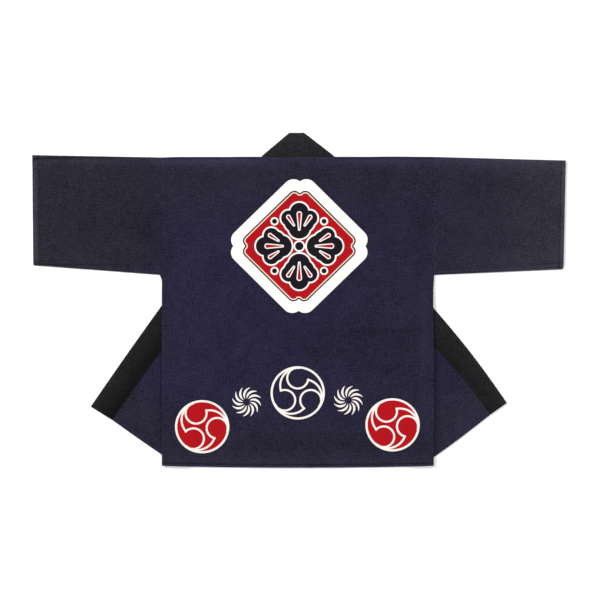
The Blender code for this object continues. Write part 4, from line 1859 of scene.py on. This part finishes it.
def print_small_figures(tree, point, colour):
    """The roundels and the whirls."""
    for centre, turn, filled in ROUNDELS:
        values = {"Point": point, "Centre": centre, "Turn": math.radians(turn)}
        roundel = use_group(tree, "comma_roundel", values)
        if filled:
            colour = inked(tree, colour, roundel["Disc"], RING_WIDTH / 2, PRINT_RED)
        colour = inked(tree, colour, roundel["Lines"], 0.0, PRINT_WARM)
    for centre, turn in WHIRLS:
        values = {"Point": point, "Centre": centre, "Turn": math.radians(turn)}
        whirl = use_group(tree, "whirl", values)
        colour = inked(tree, colour, whirl["Distance"], 0.0, PRINT_WARM)
    return colour


def print_diamond(tree, point, colour):
    """The white diamond with its red field, and the flower in it."""
    point = vectors(tree, "SUBTRACT", point, DIAMOND_CENTRE)
    x, y = split(tree, point)
    upright = join(tree, maths(tree, "MULTIPLY_ADD", y, -DIAMOND_LEAN, x), y)
    stretched = vectors(tree, "MULTIPLY", upright, DIAMOND_STRETCH)
    outer = use_group(tree, "lobed_diamond", {"Point": stretched})["Distance"]
    inner = use_group(tree, "lobed_diamond", {"Point": stretched, **INNER_DIAMOND})["Distance"]
    flower = use_group(tree, "diamond_flower", {"Point": point})
    layers = (
        (outer, 0.0, PRINT_WHITE),
        (inner, 0.0, PRINT_BLACK),
        (inner, CREAM_FROM, PRINT_CREAM),
        (inner, RED_FROM, PRINT_RED),
        (flower["Petals"], -PETAL_LINE, PRINT_WHITE),
        (flower["Petals"], 0.0, PRINT_BLACK),
        (flower["Veins"], 0.0, PRINT_WHITE),
        (flower["Veins"], VEIN_LINE, PRINT_RED),
    )
    for distance, further_in, ink in layers:
        colour = inked(tree, colour, distance, further_in, ink)
    return colour


def back_material():
    """The navy cotton of the back, with its prints."""
    material, tree, shader = new_material("printed_navy_cotton")
    place, wear_and_painted_shade, tone = read_cut(tree)
    colour, height = dyed_navy(tree, place, wear_and_painted_shade, tone)
    point = scaled(tree, place, 1.0 / MM)
    colour = print_small_figures(tree, point, colour)
    colour = print_diamond(tree, point, colour)
    cotton_shader(tree, shader, colour, height, NAVY_GLOSS, NAVY_RELIEF)
    return material


def thread_material(name, colour):
    """Sewing thread, whose dye is a little uneven."""
    material, tree, shader = new_material(name)
    where = tree.nodes.new("ShaderNodeTexCoord").outputs["Object"]
    tone = grain(tree, where, 300.0)
    shade = mixed(tree, tone, lighter(colour, 0.8), lighter(colour, 1.9))
    tree.links.new(shade, shader.inputs["Base Color"])
    shader.inputs["Roughness"].default_value = 0.7
    shader.inputs["Specular IOR Level"].default_value = 0.3
    return material


def floor_material():
    """Plain pale paper."""
    material, tree, shader = new_material("pale_floor")
    where = tree.nodes.new("ShaderNodeTexCoord").outputs["Object"]
    shade = mixed(tree, grain(tree, where, 3.0), lighter(FLOOR_WHITE, 0.99), FLOOR_WHITE)
    tree.links.new(shade, shader.inputs["Base Color"])
    shader.inputs["Roughness"].default_value = 0.9
    shader.inputs["Specular IOR Level"].default_value = 0.1
    return material


# The floor's half width in metres, and how far it lies below the coat
FLOOR_HALF = 6.0
FLOOR_DROP = 0.4


def build_floor():
    """A plain flat floor."""
    mesh = bmesh.new()
    bmesh.ops.create_grid(mesh, x_segments=1, y_segments=1, size=FLOOR_HALF)
    bmesh.ops.translate(mesh, verts=mesh.verts[:], vec=(0.0, 0.0, -FLOOR_DROP * MM))
    data = bpy.data.meshes.new("floor")
    mesh.to_mesh(data)
    mesh.free()
    data.materials.append(floor_material())
    floor = add_object("floor", data)


LIGHTS = (
    # name, place in metres, width in metres, watts
    ("key_light", (-7.4, 6.0, 4.9), 3.0, 1330.0),
    ("fill_light", (3.0, -1.2, 5.4), 3.6, 60.0),
)
SKY_STRENGTH = 0.78


def add_light(name, place, size, power):
    """A square soft light that faces the middle of the coat."""
    light = bpy.data.lights.new(name, "AREA")
    light.shape = "SQUARE"
    light.size = size
    light.energy = power
    obj = add_object(name, light)
    obj.location = place
    obj.rotation_euler = (-Vector(place)).to_track_quat("-Z", "Y").to_euler()


def light_scene():
    """A soft key from the upper left, a weaker fill, and an even pale sky."""
    for row in LIGHTS:
        add_light(*row)
    world = bpy.data.worlds.new("studio")
    world.use_nodes = True
    background = world.node_tree.nodes["Background"]
    background.inputs["Color"].default_value = (1.0, 1.0, 1.0, 1.0)
    background.inputs["Strength"].default_value = SKY_STRENGTH
    bpy.context.scene.world = world
    bpy.context.scene.view_settings.view_transform = "Standard"


def add_camera():
    """Straight above the coat, framed as the photograph is."""
    data = bpy.data.cameras.new("camera")
    data.type = "PERSP"
    data.sensor_width = SENSOR
    data.lens = SENSOR * CAMERA_HEIGHT / (PIXEL * FRAME_PIXELS)
    data.clip_end = 50.0
    camera = add_object("camera", data)
    camera.location = Vector((*FRAME_MIDDLE, CAMERA_HEIGHT)) * MM
    bpy.context.scene.camera = camera


def make_groups():
    """The shader groups, those that others use first."""
    make_weave_group()
    make_dye_group()
    make_navy_group()
    make_ink_group()
    make_arc_group()
    make_roundel_group()
    make_whirl_group()
    make_diamond_group()
    make_flower_group()


def front_cut(front):
    """A front's flat size in metres, and its area: a straight panel, narrower at the neck."""
    width = abs(front["fold_hem"].x - front["side"])
    width += (front["band_hem"] - front["fold_hem"]).length
    neck_width = abs(front["neck"].x - front["side"])
    length = SHOULDER - HEM
    area = (width + neck_width) / 2 * length
    return (max(width, neck_width) * MM, length * MM), area


def sleeve_cut(sleeve):
    """A sleeve's flat size in metres and its area, before it is folded and seamed."""
    upper, under, _ = sleeve_lines(sleeve)
    length = (upper[3] - upper[2]).length
    around = (upper[0] - upper[3]).length + (under[0] - under[3]).length
    cuff_around = (upper[1] - upper[2]).length + (under[1] - under[2]).length
    area = length * (around + cuff_around) / 2
    return (length * MM, around * MM), area


def build_coat():
    """All the pieces and their stitches; each front's and sleeve's flat size and area are worked out
    but not used.
    """
    navy = plain_material()
    black = collar_material()
    navy_thread = thread_material("navy_thread", NAVY)
    black_thread = thread_material("black_thread", COLLAR_BLACK)

    back = build_back(back_material())
    stitches = back_stitches(navy_thread)

    for side, front in fronts.items():
        piece = build_front(side, front, navy)
        stitches = front_stitches(side, front, navy_thread)
        flat, area = front_cut(front)

    for side, sleeve in SLEEVES.items():
        piece = build_sleeve(side, sleeve, navy)
        stitches = sleeve_stitches(side, sleeve, navy_thread)
        flat, area = sleeve_cut(sleeve)

    collar, sections, length = build_collar(black)
    stitches = add_stitches("collar_stitches", collar_route(sections), black_thread)


make_groups()
build_coat()
build_floor()
light_scene()
add_camera()
